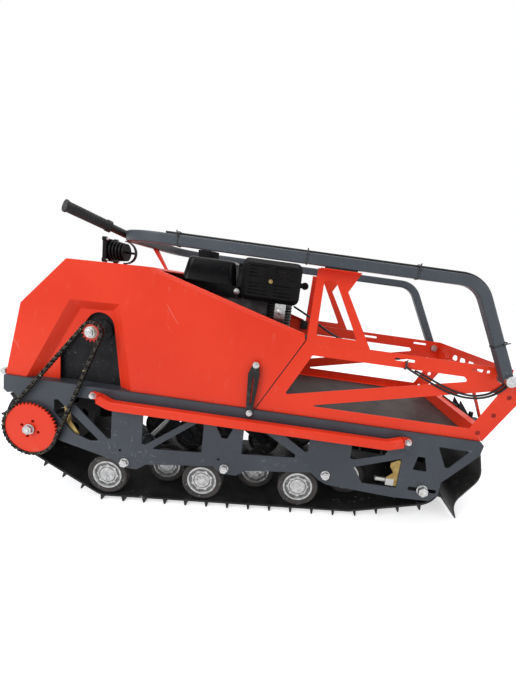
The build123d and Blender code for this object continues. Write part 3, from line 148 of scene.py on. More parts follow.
world = bpy.data.worlds.new("white_room")
scene.world = world
world.use_nodes = True
sky = world.node_tree.nodes["Background"]
seen(world.node_tree).mix((0.44, 0.45, 0.47, 1), (1, 1, 1, 1)).to(sky, "Color")
for name, place, aim, size, power in (
    ("key", (-2.4, -3.0, 3.0), (0, 0, 0.4), 2.4, 92),
    ("fill", (2.8, -2.6, 1.6), (0.1, 0, 0.4), 2.0, 14),
    ("top", (0.2, 0.4, 3.6), (0, 0, 0.3), 3.0, 50),
):
    light = bpy.data.lights.new(name, "AREA")
    light.size = size
    light.energy = power
    lamp = bpy.data.objects.new(name, light)
    lamp.location = place
    lamp.rotation_euler = (Vector(aim) - Vector(place)).to_track_quat("-Z", "Y").to_euler()
    scene.collection.objects.link(lamp)

# Tunnel: the side plates, the deck and the bogies' rocking arms are cut from steel plate, welded
# and powder-coated in graphite grey. Frost clings to the lower parts.
lean = radians(5.0)
deck_place = (0.095982, 0.0, 0.381842)
deck = Matrix.Translation(deck_place) @ Matrix.Rotation(lean, 4, "Y")


def surface(name, **constants):
    """A new material, its shader, and the place on the machine, measured along its deck."""
    material = bpy.data.materials.new(name)
    material.use_nodes = True
    tree = material.node_tree
    shader = tree.nodes["Principled BSDF"]
    for key, value in constants.items():
        shader.inputs[key.replace("_", " ").title().replace("Ior", "IOR")].default_value = value
    at_rest = Wire(tree, tree.nodes.new("ShaderNodeTexCoord").outputs["Object"])
    turned = {"Vector": at_rest, "Location": deck_place, "Rotation": (0, lean, 0)}
    return material, shader, at_rest.node("ShaderNodeMapping", {"vector_type": "TEXTURE"}, turned)


def coat(material, *names):
    """Gives solids a material."""
    for name in names:
        nodes[name].data.materials.clear()
        nodes[name].data.materials.append(material)


graphite, shader, place = surface("graphite_paint", specular_ior_level=0.35)
tone = place.clouds(5.0, 4.0, (0.034, 0.042, 0.052, 1), (0.047, 0.057, 0.069, 1))
scuff = place.stretch((0.25, 1, 1)).noise(90.0, 4.0).ramp(0.66, 0.74) * place.noise(6.0, 2.0).ramp(0.5, 0.65)
scuffed = (scuff * 0.35).mix(tone, (0.24, 0.26, 0.28, 1))
low = 1 - place.axis("Z").ramp(-0.26, 0.0)
frost = place.noise(55.0, 7.0).ramp(0.58, 0.72) * place.noise(9.0, 3.0).ramp(0.42, 0.62) * low
(frost * 0.13).mix(scuffed, (0.62, 0.65, 0.69, 1)).to(shader, "Base Color")
(place.noise(14.0, 4.0) * 0.18 + 0.34 + frost * 0.2).to(shader, "Roughness")
place.noise(520.0, 2.0).bump(shader, 0.12, 0.0003)
coat(graphite, "side_plate_left", "side_plate_right", "deck", "bogies_left", "bogies_right")

# Pivot bolts of the bogies: zinc-plated hex bolts with a washer, through both side plates. The
# same bolts hold the guard rails, the latches and the ends of the rear axle.
zinc, shader, place = surface("zinc_plate", metallic=1.0)
tone = place.clouds(160.0, 4.0, (0.38, 0.385, 0.385, 1), (0.60, 0.605, 0.60, 1))
stain = place.noise(45.0, 5.0).ramp(0.60, 0.74)
(stain * 0.45).mix(tone, (0.34, 0.30, 0.24, 1)).to(shader, "Base Color")
(place.noise(240.0, 3.0) * 0.25 + 0.24).to(shader, "Roughness")
place.noise(900.0, 2.0).bump(shader, 0.15, 0.0002)
coat(zinc, "hood_hinges", "pivot_bolts", "pivot_shafts", "rear_axle")


def keep(form, name):
    """A finished shape as a mesh, for use again and again."""
    bmesh.ops.recalc_face_normals(form, faces=form.faces)
    for face in form.faces:
        face.smooth = True
    mesh = bpy.data.meshes.new(name)
    form.to_mesh(mesh)
    mesh.set_sharp_from_angle(angle=radians(32))
    return mesh


def stamp(form, shape, place):
    """Adds a copy of a finished shape at a place."""
    start = len(form.verts)
    form.from_mesh(shape)
    form.verts.ensure_lookup_table()
    bmesh.ops.transform(form, matrix=place, verts=form.verts[start:])


def disc(form, sides, radius, depth, at, tip=None, closed=True):
    """A round or many-sided disc across the Z axis, or a taper if its tip has a radius of its own."""
    bmesh.ops.create_cone(form, cap_ends=closed, segments=sides, radius1=radius,
                          radius2=radius if tip is None else tip, depth=depth, matrix=at)


def block(form, size, at):
    """A box of a size, with its middle at a place."""
    return bmesh.ops.create_cube(form, size=1.0, matrix=at @ Matrix.Diagonal((*size, 1)))["verts"]


def soften(form, edges, offset, segments):
    """Rounds edges over."""
    bmesh.ops.bevel(form, geom=edges, offset=offset, segments=segments, profile=0.5, affect="EDGES",
                    material=-1)


def fit(form, name, material, body="machine", stands_for=()):
    """Puts a shape made along the deck on the machine, as a piece of its own."""
    bmesh.ops.transform(form, matrix=deck, verts=form.verts)
    mesh = keep(form, name)
    mesh.materials.append(material)
    made = bpy.data.objects.new(name, mesh)
    scene.collection.objects.link(made)
    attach(made, body)
    if stands_for:
        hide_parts(*stands_for)
    return made


def hex_bolt(name, flats, height, washer):
    """A hex head with chamfered corners on a washer, with a stub of its shank."""
    form = bmesh.new()
    washer_t, stub = 0.0022, 0.004
    for sides, radius, low, depth in (
        (28, washer, 0.0, washer_t), (6, flats / sqrt(3), washer_t, height), (14, flats * 0.3, height, stub),
    ):
        disc(form, sides, radius, depth, Matrix.Translation((0, 0, low + depth / 2)))
    rims = [e for e in form.edges if len(e.link_faces) == 2 and e.calc_face_angle(0) > 1.4
            and e.verts[0].co.z + e.verts[1].co.z > 1.9 * washer_t]
    soften(form, rims, flats * 0.045, 2)
    return keep(form, name)


outward = {-1: Matrix.Rotation(pi / 2, 4, "X"), 1: Matrix.Rotation(-pi / 2, 4, "X")}
plate_face, rail_face, latch_face = 0.2852, 0.2935, 0.2925
first_pivot, bogie_step = (-0.522, -0.253), 0.343
bogie_pivots = [
    (first_pivot[0] + n * bogie_step * cos(lean), first_pivot[1] + n * bogie_step * sin(lean)) for n in range(3)
]
axle_end = (0.490, -0.198)
rail_ends = ((-0.632, -0.026), (0.408, -0.032))
latch_ends = ((-0.117, -0.010), (-0.113, 0.152))
large_bolt = hex_bolt("large_bolt", 0.024, 0.010, 0.0155)
axle_nut = hex_bolt("axle_nut", 0.030, 0.014, 0.019)
small_bolt = hex_bolt("small_bolt", 0.016, 0.007, 0.0105)
bolts = bmesh.new()
for side in (-1, 1):
    for turn, (x, z) in enumerate(bogie_pivots):
        stamp(bolts, large_bolt, Matrix.Translation((x, side * plate_face, z)) @ outward[side]
              @ Matrix.Rotation(0.4 + turn, 4, "Z"))
    stamp(bolts, axle_nut, Matrix.Translation((axle_end[0], side * plate_face, axle_end[1])) @ outward[side])
    for face, ends in ((rail_face, rail_ends), (latch_face, latch_ends)):
        for x, z in ends:
            stamp(bolts, small_bolt, Matrix.Translation((x, side * face, z)) @ outward[side])
fit(bolts, "frame_bolts", zinc)

# Road wheels: pressed discs with a bright zinc coat, frosted, a little dirty and with painted shade in
#  their hollows, and moulded rubber tyres with round shoulders, a bead on each side wall and a mould line round
#  the tread.
inner_row, outer_row = 0.135, 0.225
wheel_step, wheel_drop = 0.090, 0.078
disc_metal, shader, place = surface("disc_metal")
tone = place.clouds(70.0, 5.0, (0.32, 0.325, 0.325, 1), (0.54, 0.545, 0.54, 1))
frost = place.noise(60.0, 8.0).ramp(0.54, 0.70)
# Everything on a disc inboard of its outer face is darkened almost to black: painted shade in the hollow,
# joined with the dirt.
aside = place.axis("Y").maths("ABSOLUTE")
depth = aside - inner_row - (outer_row - inner_row) * aside.ramp(0.179, 0.181)
hollow_shade = 1 - depth.ramp(0.0122, 0.0136)
dirt_and_hollow_shade = place.noise(34.0, 6.0).ramp(0.62, 0.72).maths("MAXIMUM", hollow_shade * 0.9)
dirty_and_shaded = (dirt_and_hollow_shade * 0.85).mix(tone, (0.055, 0.052, 0.050, 1))
(frost * 0.26).mix(dirty_and_shaded, (0.74, 0.77, 0.80, 1)).to(shader, "Base Color")
(0.9 - frost * 0.6 - dirt_and_hollow_shade * 0.3).to(shader, "Metallic")
(place.noise(120.0, 4.0) * 0.2 + 0.26 + frost * 0.25).to(shader, "Roughness")
(place.noise(300.0, 4.0) + frost).bump(shader, 0.25, 0.0006)
coat(disc_metal, "wheel_discs_left", "wheel_discs_right")

tyre_rubber, shader, place = surface("tyre_rubber")
tone = place.clouds(24.0, 5.0, (0.014, 0.012, 0.011, 1), (0.040, 0.034, 0.031, 1))
frost = place.noise(110.0, 8.0).ramp(0.60, 0.72) * place.noise(16.0, 3.0).ramp(0.40, 0.60)
(frost * 0.6).mix(tone, (0.66, 0.69, 0.72, 1)).to(shader, "Base Color")
(place.noise(80.0, 4.0) * 0.25 + 0.52).to(shader, "Roughness")
(place.noise(700.0, 3.0) + frost * 2.0).bump(shader, 0.3, 0.0005)
tyre_form = bmesh.new()
tyre_half = [
    (0.0524, 0.0165), (0.0540, 0.0188), (0.0575, 0.0196), (0.0590, 0.0186), (0.0605, 0.0186), (0.0620, 0.0196),
    (0.0665, 0.0192), (0.0698, 0.0174), (0.0716, 0.0138), (0.0720, 0.0090), (0.0720, 0.0016), (0.0714, 0.0008),
]
tyre_edge = [(r, -y) for r, y in tyre_half] + [(r, y) for r, y in reversed(tyre_half)]
corners = [tyre_form.verts.new((r, y, 0)) for r, y in tyre_edge]
rim_lines = [tyre_form.edges.new(ends) for ends in zip(corners, corners[1:] + corners[:1])]
bmesh.ops.spin(tyre_form, geom=corners + rim_lines, cent=(0, 0, 0), axis=(0, 1, 0), angle=2 * pi, steps=56,
               use_merge=True)
tyre = keep(tyre_form, "tyre")
for side, word in ((-1, "left"), (1, "right")):
    tyres = bmesh.new()
    for x, z in bogie_pivots:
        for step, row in ((-wheel_step, outer_row), (wheel_step, inner_row)):
            hub_x = x + step * cos(lean) + wheel_drop * sin(lean)
            hub_z = z + step * sin(lean) - wheel_drop * cos(lean)
            stamp(tyres, tyre, Matrix.Translation((hub_x, side * row, hub_z)))
    fit(tyres, f"round_tyres_{word}", tyre_rubber, stands_for=[f"wheel_tyres_{word}"])

# Track: one moulded rubber belt with three rows of lugs, damp and black, with fine cords showing
# as ribs along it and a little snow in its corners.
track_rubber, shader, place = surface("track_rubber", specular_ior_level=0.25)
tone = place.clouds(18.0, 5.0, (0.006, 0.006, 0.007, 1), (0.018, 0.018, 0.019, 1))
snow = place.noise(75.0, 8.0).ramp(0.62, 0.72) * place.noise(7.0, 3.0).ramp(0.52, 0.66)
(snow * 0.75).mix(tone, (0.80, 0.83, 0.86, 1)).to(shader, "Base Color")
(place.noise(40.0, 4.0) * 0.3 + 0.40).to(shader, "Roughness")
ribs = (place.axis("Y") * 900.0).maths("SINE") * 0.3
(place.noise(420.0, 3.0) + ribs + snow * 2.0).bump(shader, 0.3, 0.0008)
coat(track_rubber, "track")

# Drive shaft: a bright steel shaft with two dark moulded drums that turn the track, in cast flanged
# bearings. The rear idlers, the plate behind the chain, the hitch and the lamp's strap are black too.
drum_centre = (-0.837, -0.170)
drums, shader, place = surface("drum_and_shaft", specular_ior_level=0.25)
across = place.axis("X") - drum_centre[0]
height = place.axis("Z") - drum_centre[1]
shaft_edge, drum_edge = 0.0155 ** 2, 0.0173 ** 2
drum = (across * across + height * height).ramp(shaft_edge, drum_edge)
grain = place.noise(30.0, 5.0).ramp(0.3, 0.7)
bright = grain.mix((0.40, 0.40, 0.40, 1), (0.62, 0.62, 0.62, 1))
drum.mix(bright, grain.mix((0.010, 0.010, 0.011, 1), (0.026, 0.026, 0.028, 1))).to(shader, "Base Color")
(1 - drum).to(shader, "Metallic")
(place.noise(70.0, 4.0) * 0.2 + 0.30 + drum * 0.15).to(shader, "Roughness")
place.noise(600.0, 2.0).bump(shader, 0.12, 0.0003)
coat(drums, "drive_shaft")

cast_black, shader, place = surface("cast_black", specular_ior_level=0.15)
tone = place.clouds(26.0, 5.0, (0.007, 0.007, 0.008, 1), (0.018, 0.018, 0.020, 1))
frost = place.noise(80.0, 7.0).ramp(0.62, 0.74)
(frost * 0.12).mix(tone, (0.5, 0.52, 0.55, 1)).to(shader, "Base Color")
(place.noise(60.0, 4.0) * 0.25 + 0.36).to(shader, "Roughness")
place.noise(480.0, 4.0).bump(shader, 0.25, 0.0005)
coat(cast_black, "drive_bearings", "rear_idlers", "jackshaft_plate", "tow_hitch", "lamp_bracket")

# Tensioners: bent plates with a yellow passivated coat, and a plain bright screw that draws the
# axle back.
passivated, shader, place = surface("yellow_passivated", metallic=1.0)
cloud = place.clouds(48.0, 5.0, (0.22, 0.15, 0.05, 1), (0.39, 0.29, 0.12, 1))
screw = (1 - place.axis("Z").ramp(-0.1765, -0.1755)) * (1 - place.axis("X").ramp(0.392, 0.394))
screw.mix(cloud, (0.42, 0.42, 0.41, 1)).to(shader, "Base Color")
(place.noise(90.0, 4.0) * 0.3 + 0.26).to(shader, "Roughness")
threads = (place.axis("X") * 3000.0).maths("SINE") * screw
(place.noise(500.0, 2.0) * 0.4 + threads).bump(shader, 0.3, 0.0006)
coat(passivated, "tensioners")

# Painted steel: the hood, the rack and the guard rails are folded from sheet, welded and
# powder-coated in a warm red with a slight orange peel. Fine pale scratches run down at a slant.
red, shader, place = surface("red_paint", specular_ior_level=0.28)
tone = place.clouds(2.6, 3.0, (0.77, 0.034, 0.008, 1), (0.85, 0.048, 0.013, 1))
slant = place.node("ShaderNodeVectorRotate", {"rotation_type": "Y_AXIS"}, {"Vector": place, "Angle": 0.62})
hair = slant.stretch((1, 0.3, 0.035)).noise(170.0, 2.0).ramp(0.69, 0.73)
hair = hair * place.noise(4.0, 2.0).ramp(0.46, 0.62)
dust = place.stretch((1, 1, 0.4)).noise(46.0, 7.0).ramp(0.60, 0.80)
foot = place.axis("Z").ramp(-0.010, -0.002) * (1 - place.axis("Z").ramp(0.004, 0.026))
chips = place.noise(130.0, 4.0).ramp(0.64, 0.67) * foot
dusted = (dust * 0.06 + hair * 0.30).mix(tone, (0.90, 0.62, 0.54, 1))
chipped = (chips * 0.7).mix(dusted, (0.16, 0.05, 0.03, 1))
# A nearly black line along the slanting seam behind the hood, on both flanks: painted shade in the gap.
seam_foot, seam_rake, seam_gap = -0.104, 0.5388, 0.004
behind = place.axis("X") - seam_foot - seam_rake * place.axis("Z")
flank = place.axis("Y").maths("ABSOLUTE")
seam_shade = behind.ramp(-0.001, 0.0) * (1 - behind.ramp(seam_gap, seam_gap + 0.001))
sunk = flank.ramp(0.268, 0.269) * (1 - flank.ramp(0.2733, 0.2735))
(seam_shade * sunk).mix(chipped, (0.012, 0.006, 0.005, 1)).to(shader, "Base Color")
(place.noise(8.0, 4.0) * 0.16 + 0.27 + dust * 0.12).to(shader, "Roughness")
(place.noise(330.0, 2.0) + hair * 0.5).bump(shader, 0.07, 0.0004)
coat(red, "hood", "rack_side_left", "rack_side_right", "rear_panel", "rear_beam", "arm_rests")
coat(red, "guard_rail_left", "guard_rail_right", "handle_stay", "driven_sprocket")

# Dark red discs in the left strip's holes: dished discs, one in each of the three tie-down holes,
#  painted shade that stands for the dark inside of each hole.
# Dark red for the discs in the holes: painted shade.
hole_shade, shader, place = surface("hole_shade_red", specular_ior_level=0.25)
place.clouds(60.0, 4.0, (0.26, 0.010, 0.004, 1), (0.36, 0.016, 0.006, 1)).to(shader, "Base Color")
(place.noise(90.0, 4.0) * 0.2 + 0.40).to(shader, "Roughness")
place.noise(500.0, 2.0).bump(shader, 0.1, 0.0003)
shade_disc_form = bmesh.new()
disc(shade_disc_form, 24, 0.0078, 0.0018, Matrix.Identity(4))
dish = [f for f in shade_disc_form.faces if f.normal.z > 0.9]
bmesh.ops.inset_region(shade_disc_form, faces=dish, thickness=0.0016, depth=-0.0008)
shade_disc = keep(shade_disc_form, "hole_shade_disc")
shade_discs = bmesh.new()
for x, z in ((0.629, 0.027), (0.665, 0.092), (0.699, 0.157)):
    stamp(shade_discs, shade_disc, Matrix.Translation((x, -0.2748, z)) @ outward[-1])
fit(shade_discs, "hole_shade_discs", hole_shade)

# Chain drive: sprockets cut from plate and painted, a zinc-plated nut on each shaft's end, and an
#  oiled roller chain of stamped plates, dark, with a few brassy bright spots, partly wear and partly painted
#  glints.
jack_centre = (-0.637, 0.185)
jack, shader, place = surface("jackshaft_paint")
across = place.axis("X") - jack_centre[0]
height = place.axis("Z") - jack_centre[1]
hub_edge, wheel_edge = 0.0184 ** 2, 0.0195 ** 2
wheel = (across * across + height * height).ramp(hub_edge, wheel_edge)
scale = place.noise(40.0, 4.0).ramp(0.3, 0.7)
bright = scale.mix((0.46, 0.44, 0.38, 1), (0.70, 0.69, 0.64, 1))
wheel.mix(bright, scale.mix((0.42, 0.020, 0.006, 1), (0.62, 0.030, 0.008, 1))).to(shader, "Base Color")
(1 - wheel).to(shader, "Metallic")
(place.noise(90.0, 4.0) * 0.25 + 0.28).to(shader, "Roughness")
place.noise(500.0, 2.0).bump(shader, 0.12, 0.0003)
coat(jack, "jackshaft")

oiled, shader, place = surface("oiled_chain", metallic=0.85)
grime = place.noise(190.0, 5.0).ramp(0.35, 0.65)
tone = grime.mix((0.024, 0.022, 0.020, 1), (0.085, 0.078, 0.068, 1))
# Brassy bright spots here and there: partly wear, partly painted glints.
wear_and_glints = place.noise(75.0, 2.0).ramp(0.66, 0.72)
(wear_and_glints * 0.8).mix(tone, (0.62, 0.47, 0.22, 1)).to(shader, "Base Color")
(place.noise(260.0, 3.0) * 0.3 + 0.26).to(shader, "Roughness")
place.noise(800.0, 2.0).bump(shader, 0.2, 0.0002)
chain_y = -0.298
half_pitch = 0.00635
big_teeth, small_teeth = 44, 15
plate_r, plate_t, waist_w = 0.0058, 0.0018, 0.0086
pin_r, pin_tip_r, pin_stand = 0.0022, 0.0018, 0.0008
roller_r, roller_w = 0.0040, 0.0062
link_forms = {}
for kind, offset in (("outer", 0.0052), ("inner", 0.0032)):
    link = bmesh.new()
    for near in (-1, 1):
        level = Matrix.Translation((0, near * offset, 0)) @ outward[-1]
        for end in (-half_pitch, half_pitch):
            disc(link, 12, plate_r, plate_t, Matrix.Translation((end, 0, 0)) @ level)
            if kind == "outer":
                pin_place = Matrix.Translation((end, near * pin_stand, 0)) @ level
                disc(link, 8, pin_r, plate_t, pin_place, tip=pin_tip_r)
        block(link, (2 * half_pitch, waist_w, plate_t), level)
    if kind == "inner":
        for end in (-half_pitch, half_pitch):
            disc(link, 10, roller_r, roller_w, Matrix.Translation((end, 0, 0)) @ outward[-1], closed=False)
    link_forms[kind] = keep(link, f"{kind}_link")
big, small = half_pitch / sin(pi / big_teeth), half_pitch / sin(pi / small_teeth)
rise = Vector((jack_centre[0] - drum_centre[0], jack_centre[1] - drum_centre[1]))
tilt = asin((big - small) / rise.length)
heading = atan2(rise.y, rise.x)
run = sqrt(rise.length ** 2 - (big - small) ** 2)
chain_spans = (
    (drum_centre, big, heading + pi / 2 - tilt, pi + 2 * tilt),
    (None, run, heading + tilt, 0.0),
    (jack_centre, small, heading - pi / 2 + tilt, pi - 2 * tilt),
    (None, run, heading + pi - tilt, 0.0),
)
whole = big * (pi + 2 * tilt) + small * (pi - 2 * tilt) + 2 * run
link_count = 2 * round(whole / half_pitch / 4)
spacing = whole / link_count
chain = bmesh.new()
for n in range(link_count):
    left = n * spacing
    here = Vector(drum_centre) + big * Vector((cos(chain_spans[0][2]), sin(chain_spans[0][2])))
    for centre, reach, start, sweep in chain_spans:
        length = reach * sweep if centre else reach
        share = min(left / length, 1.0)
        if centre:
            angle = start + share * sweep
            here = Vector(centre) + reach * Vector((cos(angle), sin(angle)))
            facing = angle + pi / 2
        else:
            here = here + share * reach * Vector((cos(start), sin(start)))
            facing = start
        left -= length
        if left < 0:
            break
    kind = "outer" if n % 2 else "inner"
    laid = Matrix.Translation((here.x, chain_y, here.y)) @ Matrix.Rotation(-facing, 4, "Y")
    stamp(chain, link_forms[kind], laid)
fit(chain, "roller_chain", oiled, stands_for=["chain"])

shaft_nuts = bmesh.new()
stamp(shaft_nuts, hex_bolt("drive_nut", 0.028, 0.009, 0.018),
      Matrix.Translation((drum_centre[0], -0.3043, drum_centre[1])) @ outward[-1])
stamp(shaft_nuts, hex_bolt("jack_nut", 0.024, 0.006, 0.0165),
      Matrix.Translation((jack_centre[0], -0.3085, jack_centre[1])) @ outward[-1])
fit(shaft_nuts, "shaft_nuts", zinc)

# Floor of the rack and other flat rubber: a ribbed mat, a thick flap behind the track, the hood's
# stretched latches and thin pads on the arm rests.
sheet_rubber, shader, place = surface("sheet_rubber", specular_ior_level=0.20)
tone = place.clouds(7.0, 5.0, (0.014, 0.013, 0.013, 1), (0.036, 0.034, 0.032, 1))
dust = place.noise(60.0, 7.0).ramp(0.58, 0.78)
(dust * 0.16).mix(tone, (0.42, 0.42, 0.42, 1)).to(shader, "Base Color")
(place.noise(12.0, 4.0) * 0.22 + 0.36).to(shader, "Roughness")
ribs = (place.axis("Y") * 1250.0).maths("SINE") * 0.5
(place.noise(380.0, 3.0) + ribs).bump(shader, 0.16, 0.0006)
coat(sheet_rubber, "floor_mat", "snow_flap", "hood_latches", "rest_pads")

# Buffers: moulded rubber blocks behind the tops of the seams, on the front ends of the rack's
# rails. The hood's tail closes on them.
buffer_form = bmesh.new()
block(buffer_form, (0.032, 0.012, 0.040), Matrix.Identity(4))
soften(buffer_form, buffer_form.edges[:], 0.002, 2)
buffer = keep(buffer_form, "buffer")
buffers = bmesh.new()
for side in (-1, 1):
    stamp(buffers, buffer, Matrix.Translation((0.0300, side * 0.2640, 0.2440)))
fit(buffers, "hood_buffers", sheet_rubber)

# Engine: a cast block with cooling fins, a pressed black shroud and a glossy painted fuel tank. The
# tank's cap, the muffler's guard, the air cleaner and the lamp's body are satin black.
casting, shader, place = surface("engine_casting", metallic=0.6)
tone = place.clouds(22.0, 5.0, (0.040, 0.041, 0.043, 1), (0.110, 0.112, 0.115, 1))
oil = place.noise(11.0, 5.0).ramp(0.52, 0.66)
(oil * 0.6).mix(tone, (0.014, 0.013, 0.012, 1)).to(shader, "Base Color")
(place.noise(60.0, 4.0) * 0.25 + 0.38).to(shader, "Roughness")
place.noise(420.0, 4.0).bump(shader, 0.3, 0.0005)
coat(casting, "engine_block")

gloss_black, shader, place = surface(
    "gloss_black", specular_ior_level=0.10, coat_weight=0.05, coat_roughness=0.05
)
tone = place.clouds(9.0, 4.0, (0.004, 0.004, 0.005, 1), (0.009, 0.009, 0.010, 1))
dust = place.noise(120.0, 7.0).ramp(0.62, 0.80)
(dust * 0.04).mix(tone, (0.40, 0.41, 0.43, 1)).to(shader, "Base Color")
(place.noise(30.0, 4.0) * 0.14 + 0.16 + dust * 0.2).to(shader, "Roughness")
place.noise(260.0, 2.0).bump(shader, 0.04, 0.0003)
coat(gloss_black, "fuel_tank", "engine_shroud")

satin_black, shader, place = surface("satin_black", specular_ior_level=0.09)
tone = place.clouds(16.0, 5.0, (0.005, 0.005, 0.006, 1), (0.011, 0.011, 0.012, 1))
dust = place.noise(90.0, 7.0).ramp(0.60, 0.80)
(dust * 0.04).mix(tone, (0.36, 0.37, 0.39, 1)).to(shader, "Base Color")
(place.noise(40.0, 4.0) * 0.2 + 0.34).to(shader, "Roughness")
place.noise(640.0, 3.0).bump(shader, 0.16, 0.0003)
coat(satin_black, "fuel_cap", "muffler_guard", "air_cleaner", "headlamp")

heated, shader, place = surface("heated_steel", metallic=0.5, specular_ior_level=0.2)
scale = place.clouds(30.0, 5.0, (0.020, 0.018, 0.016, 1), (0.060, 0.054, 0.048, 1))
outlet = place.axis("X").ramp(-0.012, -0.008)
outlet.mix(scale, (0.014, 0.014, 0.015, 1)).to(shader, "Base Color")
(place.noise(50.0, 4.0) * 0.3 + 0.36).to(shader, "Roughness")
place.noise(500.0, 3.0).bump(shader, 0.2, 0.0003)
coat(heated, "muffler")

# Small parts round the engine: a bolt in the guard's face, a sheet that shields the tank from the
# muffler's heat, a bent bright strip that carries the guard, and bolts in the shroud's side.
def draw_out(form, edges, along):
    """Draws a sheet out of edges, by a distance."""
    drawn = bmesh.ops.extrude_edge_only(form, edges=edges)["geom"]
    bmesh.ops.translate(form, vec=along, verts=[v for v in drawn if isinstance(v, bmesh.types.BMVert)])


shield = bmesh.new()
shield_tall, shield_wide, shield_t = 0.0765, 0.230, 0.0012
upright = Matrix.Translation((-0.2265, -0.032, 0.4225)) @ Matrix.Rotation(pi / 2, 4, "Y")
bmesh.ops.create_grid(shield, x_segments=2, y_segments=6, size=0.5,
                      matrix=upright @ Matrix.Diagonal((shield_tall, shield_wide, 1, 1)))
crest = max(v.co.z for v in shield.verts)
draw_out(shield, [e for e in shield.edges if min(v.co.z for v in e.verts) > crest - 0.001], (0.008, 0, 0.004))
bmesh.ops.solidify(shield, geom=shield.faces[:], thickness=shield_t)
fit(shield, "heat_shield", satin_black)

strip = bmesh.new()
strip_front, strip_wide, strip_t = -0.087, 0.037, 0.003
strip_line = [(-0.1585, 0.3450), (-0.1585, 0.290), (-0.0768, 0.255), (-0.0768, 0.225)]
strip_ends = [strip.verts.new((strip_front, y, z)) for y, z in strip_line]
draw_out(strip, [strip.edges.new(ends) for ends in zip(strip_ends, strip_ends[1:])], (strip_wide, 0, 0))
soften(strip, [e for e in strip.edges if len(e.link_faces) == 2], 0.006, 3)
bmesh.ops.solidify(strip, geom=strip.faces[:], thickness=-strip_t)
shroud_face = -0.1182
for x, y, z in (
    (strip_front + strip_wide / 2, strip_line[0][0], 0.318),
    (-0.232, shroud_face, 0.366),
    (-0.420, shroud_face, 0.366),
):
    stamp(strip, small_bolt, Matrix.Translation((x, y, z)) @ outward[-1])
fit(strip, "guard_strip", zinc)

guard_bolt = bmesh.new()
stamp(guard_bolt, hex_bolt("guard_bolt_head", 0.010, 0.005, 0.0072),
      Matrix.Translation((-0.111, -0.1652, 0.416)) @ outward[-1])
fit(guard_bolt, "guard_bolt", passivated)

# Headlamp: a black moulded body on its strap, two bright screws in the bezel's near ears and a
# moulded lens with cells over the lights.
lens_clear, shader, place = surface("lens_clear", coat_weight=0.6, coat_roughness=0.03)
cells = place.node("ShaderNodeTexVoronoi", {"feature": "DISTANCE_TO_EDGE"}, {"Vector": place, "Scale": 62.0})
cell = cells.ramp(0.0, 0.16)
cell.mix((0.20, 0.21, 0.22, 1), (0.78, 0.80, 0.82, 1)).to(shader, "Base Color")
(0.22 - cell * 0.14).to(shader, "Roughness")
cell.bump(shader, 0.4, 0.0008)
coat(lens_clear, "lamp_lens")
lamp_screw = hex_bolt("lamp_screw", 0.0075, 0.004, 0.0055)
screws = bmesh.new()
for y in (-0.038, 0.038):
    for z in (0.4142, 0.4902):
        stamp(screws, lamp_screw, Matrix.Translation((-0.7518, y, z)) @ Matrix.Rotation(pi / 2, 4, "Y"))
fit(screws, "lamp_screws", zinc)

# Tow handle: one bent square tube in graphite powder coat, black at its front clamp and stubs, with
# ribbed rubber grips. The throttle's cable runs along it in a black sleeve.
handle_paint, shader, place = surface("handle_paint", specular_ior_level=0.35)
tone = place.clouds(6.0, 4.0, (0.042, 0.052, 0.063, 1), (0.058, 0.070, 0.084, 1))
front = 1 - place.axis("X").ramp(-0.585, -0.535)
dust = place.noise(60.0, 7.0).ramp(0.60, 0.78)
dusted = (dust * 0.12).mix(tone, (0.45, 0.47, 0.50, 1))
front.mix(dusted, (0.012, 0.012, 0.013, 1)).to(shader, "Base Color")
(place.noise(18.0, 4.0) * 0.18 + 0.30).to(shader, "Roughness")
place.noise(520.0, 2.0).bump(shader, 0.10, 0.0003)
coat(handle_paint, "tow_handle")

grip_rubber, shader, place = surface("grip_rubber", specular_ior_level=0.25)
place.clouds(30.0, 4.0, (0.010, 0.010, 0.011, 1), (0.026, 0.026, 0.028, 1)).to(shader, "Base Color")
(place.noise(70.0, 4.0) * 0.2 + 0.48).to(shader, "Roughness")
rings = (place.axis("X") * 1400.0).maths("SINE")
(rings + place.noise(700.0, 3.0) * 0.5).bump(shader, 0.5, 0.0010)
coat(grip_rubber, "grips")

sleeve, shader, place = surface("cable_sleeve", specular_ior_level=0.25)
place.clouds(60.0, 4.0, (0.011, 0.011, 0.012, 1), (0.024, 0.024, 0.026, 1)).to(shader, "Base Color")
(place.noise(90.0, 4.0) * 0.2 + 0.36).to(shader, "Roughness")
place.noise(900.0, 2.0).bump(shader, 0.12, 0.0002)
coat(sleeve, "throttle_cable")

# Free cables: one from the engine to the slot in the left rail, and two strands that hang from the
# rail to the handle's left pivot, all in black sleeves.
strand_y, inner_y = -0.2798, -0.2697
sleeve_d = 0.007
cable_routes = {
    "engine_cable": (0.4416, [
        (-0.022, -0.100, 0.340), (0.033, -0.180, 0.320), (0.072, -0.228, 0.296), (0.133, -0.254, 0.268),
        (0.240, inner_y, 0.240), (0.334, inner_y, 0.231),
    ]),
    "cable_loop": (0.3954, [
        (0.354, strand_y, 0.212), (0.372, strand_y, 0.202), (0.423, strand_y, 0.180), (0.476, strand_y, 0.157),
        (0.527, strand_y, 0.142), (0.576, strand_y, 0.138), (0.622, strand_y, 0.147), (0.660, strand_y, 0.169),
        (0.686, strand_y, 0.198), (0.694, strand_y, 0.228),
    ]),
    "cable_loop_inner": (0.3139, [
        (0.392, -0.262, 0.200), (0.418, -0.274, 0.192), (0.450, strand_y, 0.179), (0.496, strand_y, 0.161),
        (0.541, strand_y, 0.150), (0.584, strand_y, 0.147), (0.624, strand_y, 0.158), (0.652, strand_y, 0.177),
        (0.676, strand_y, 0.204),
    ]),
}
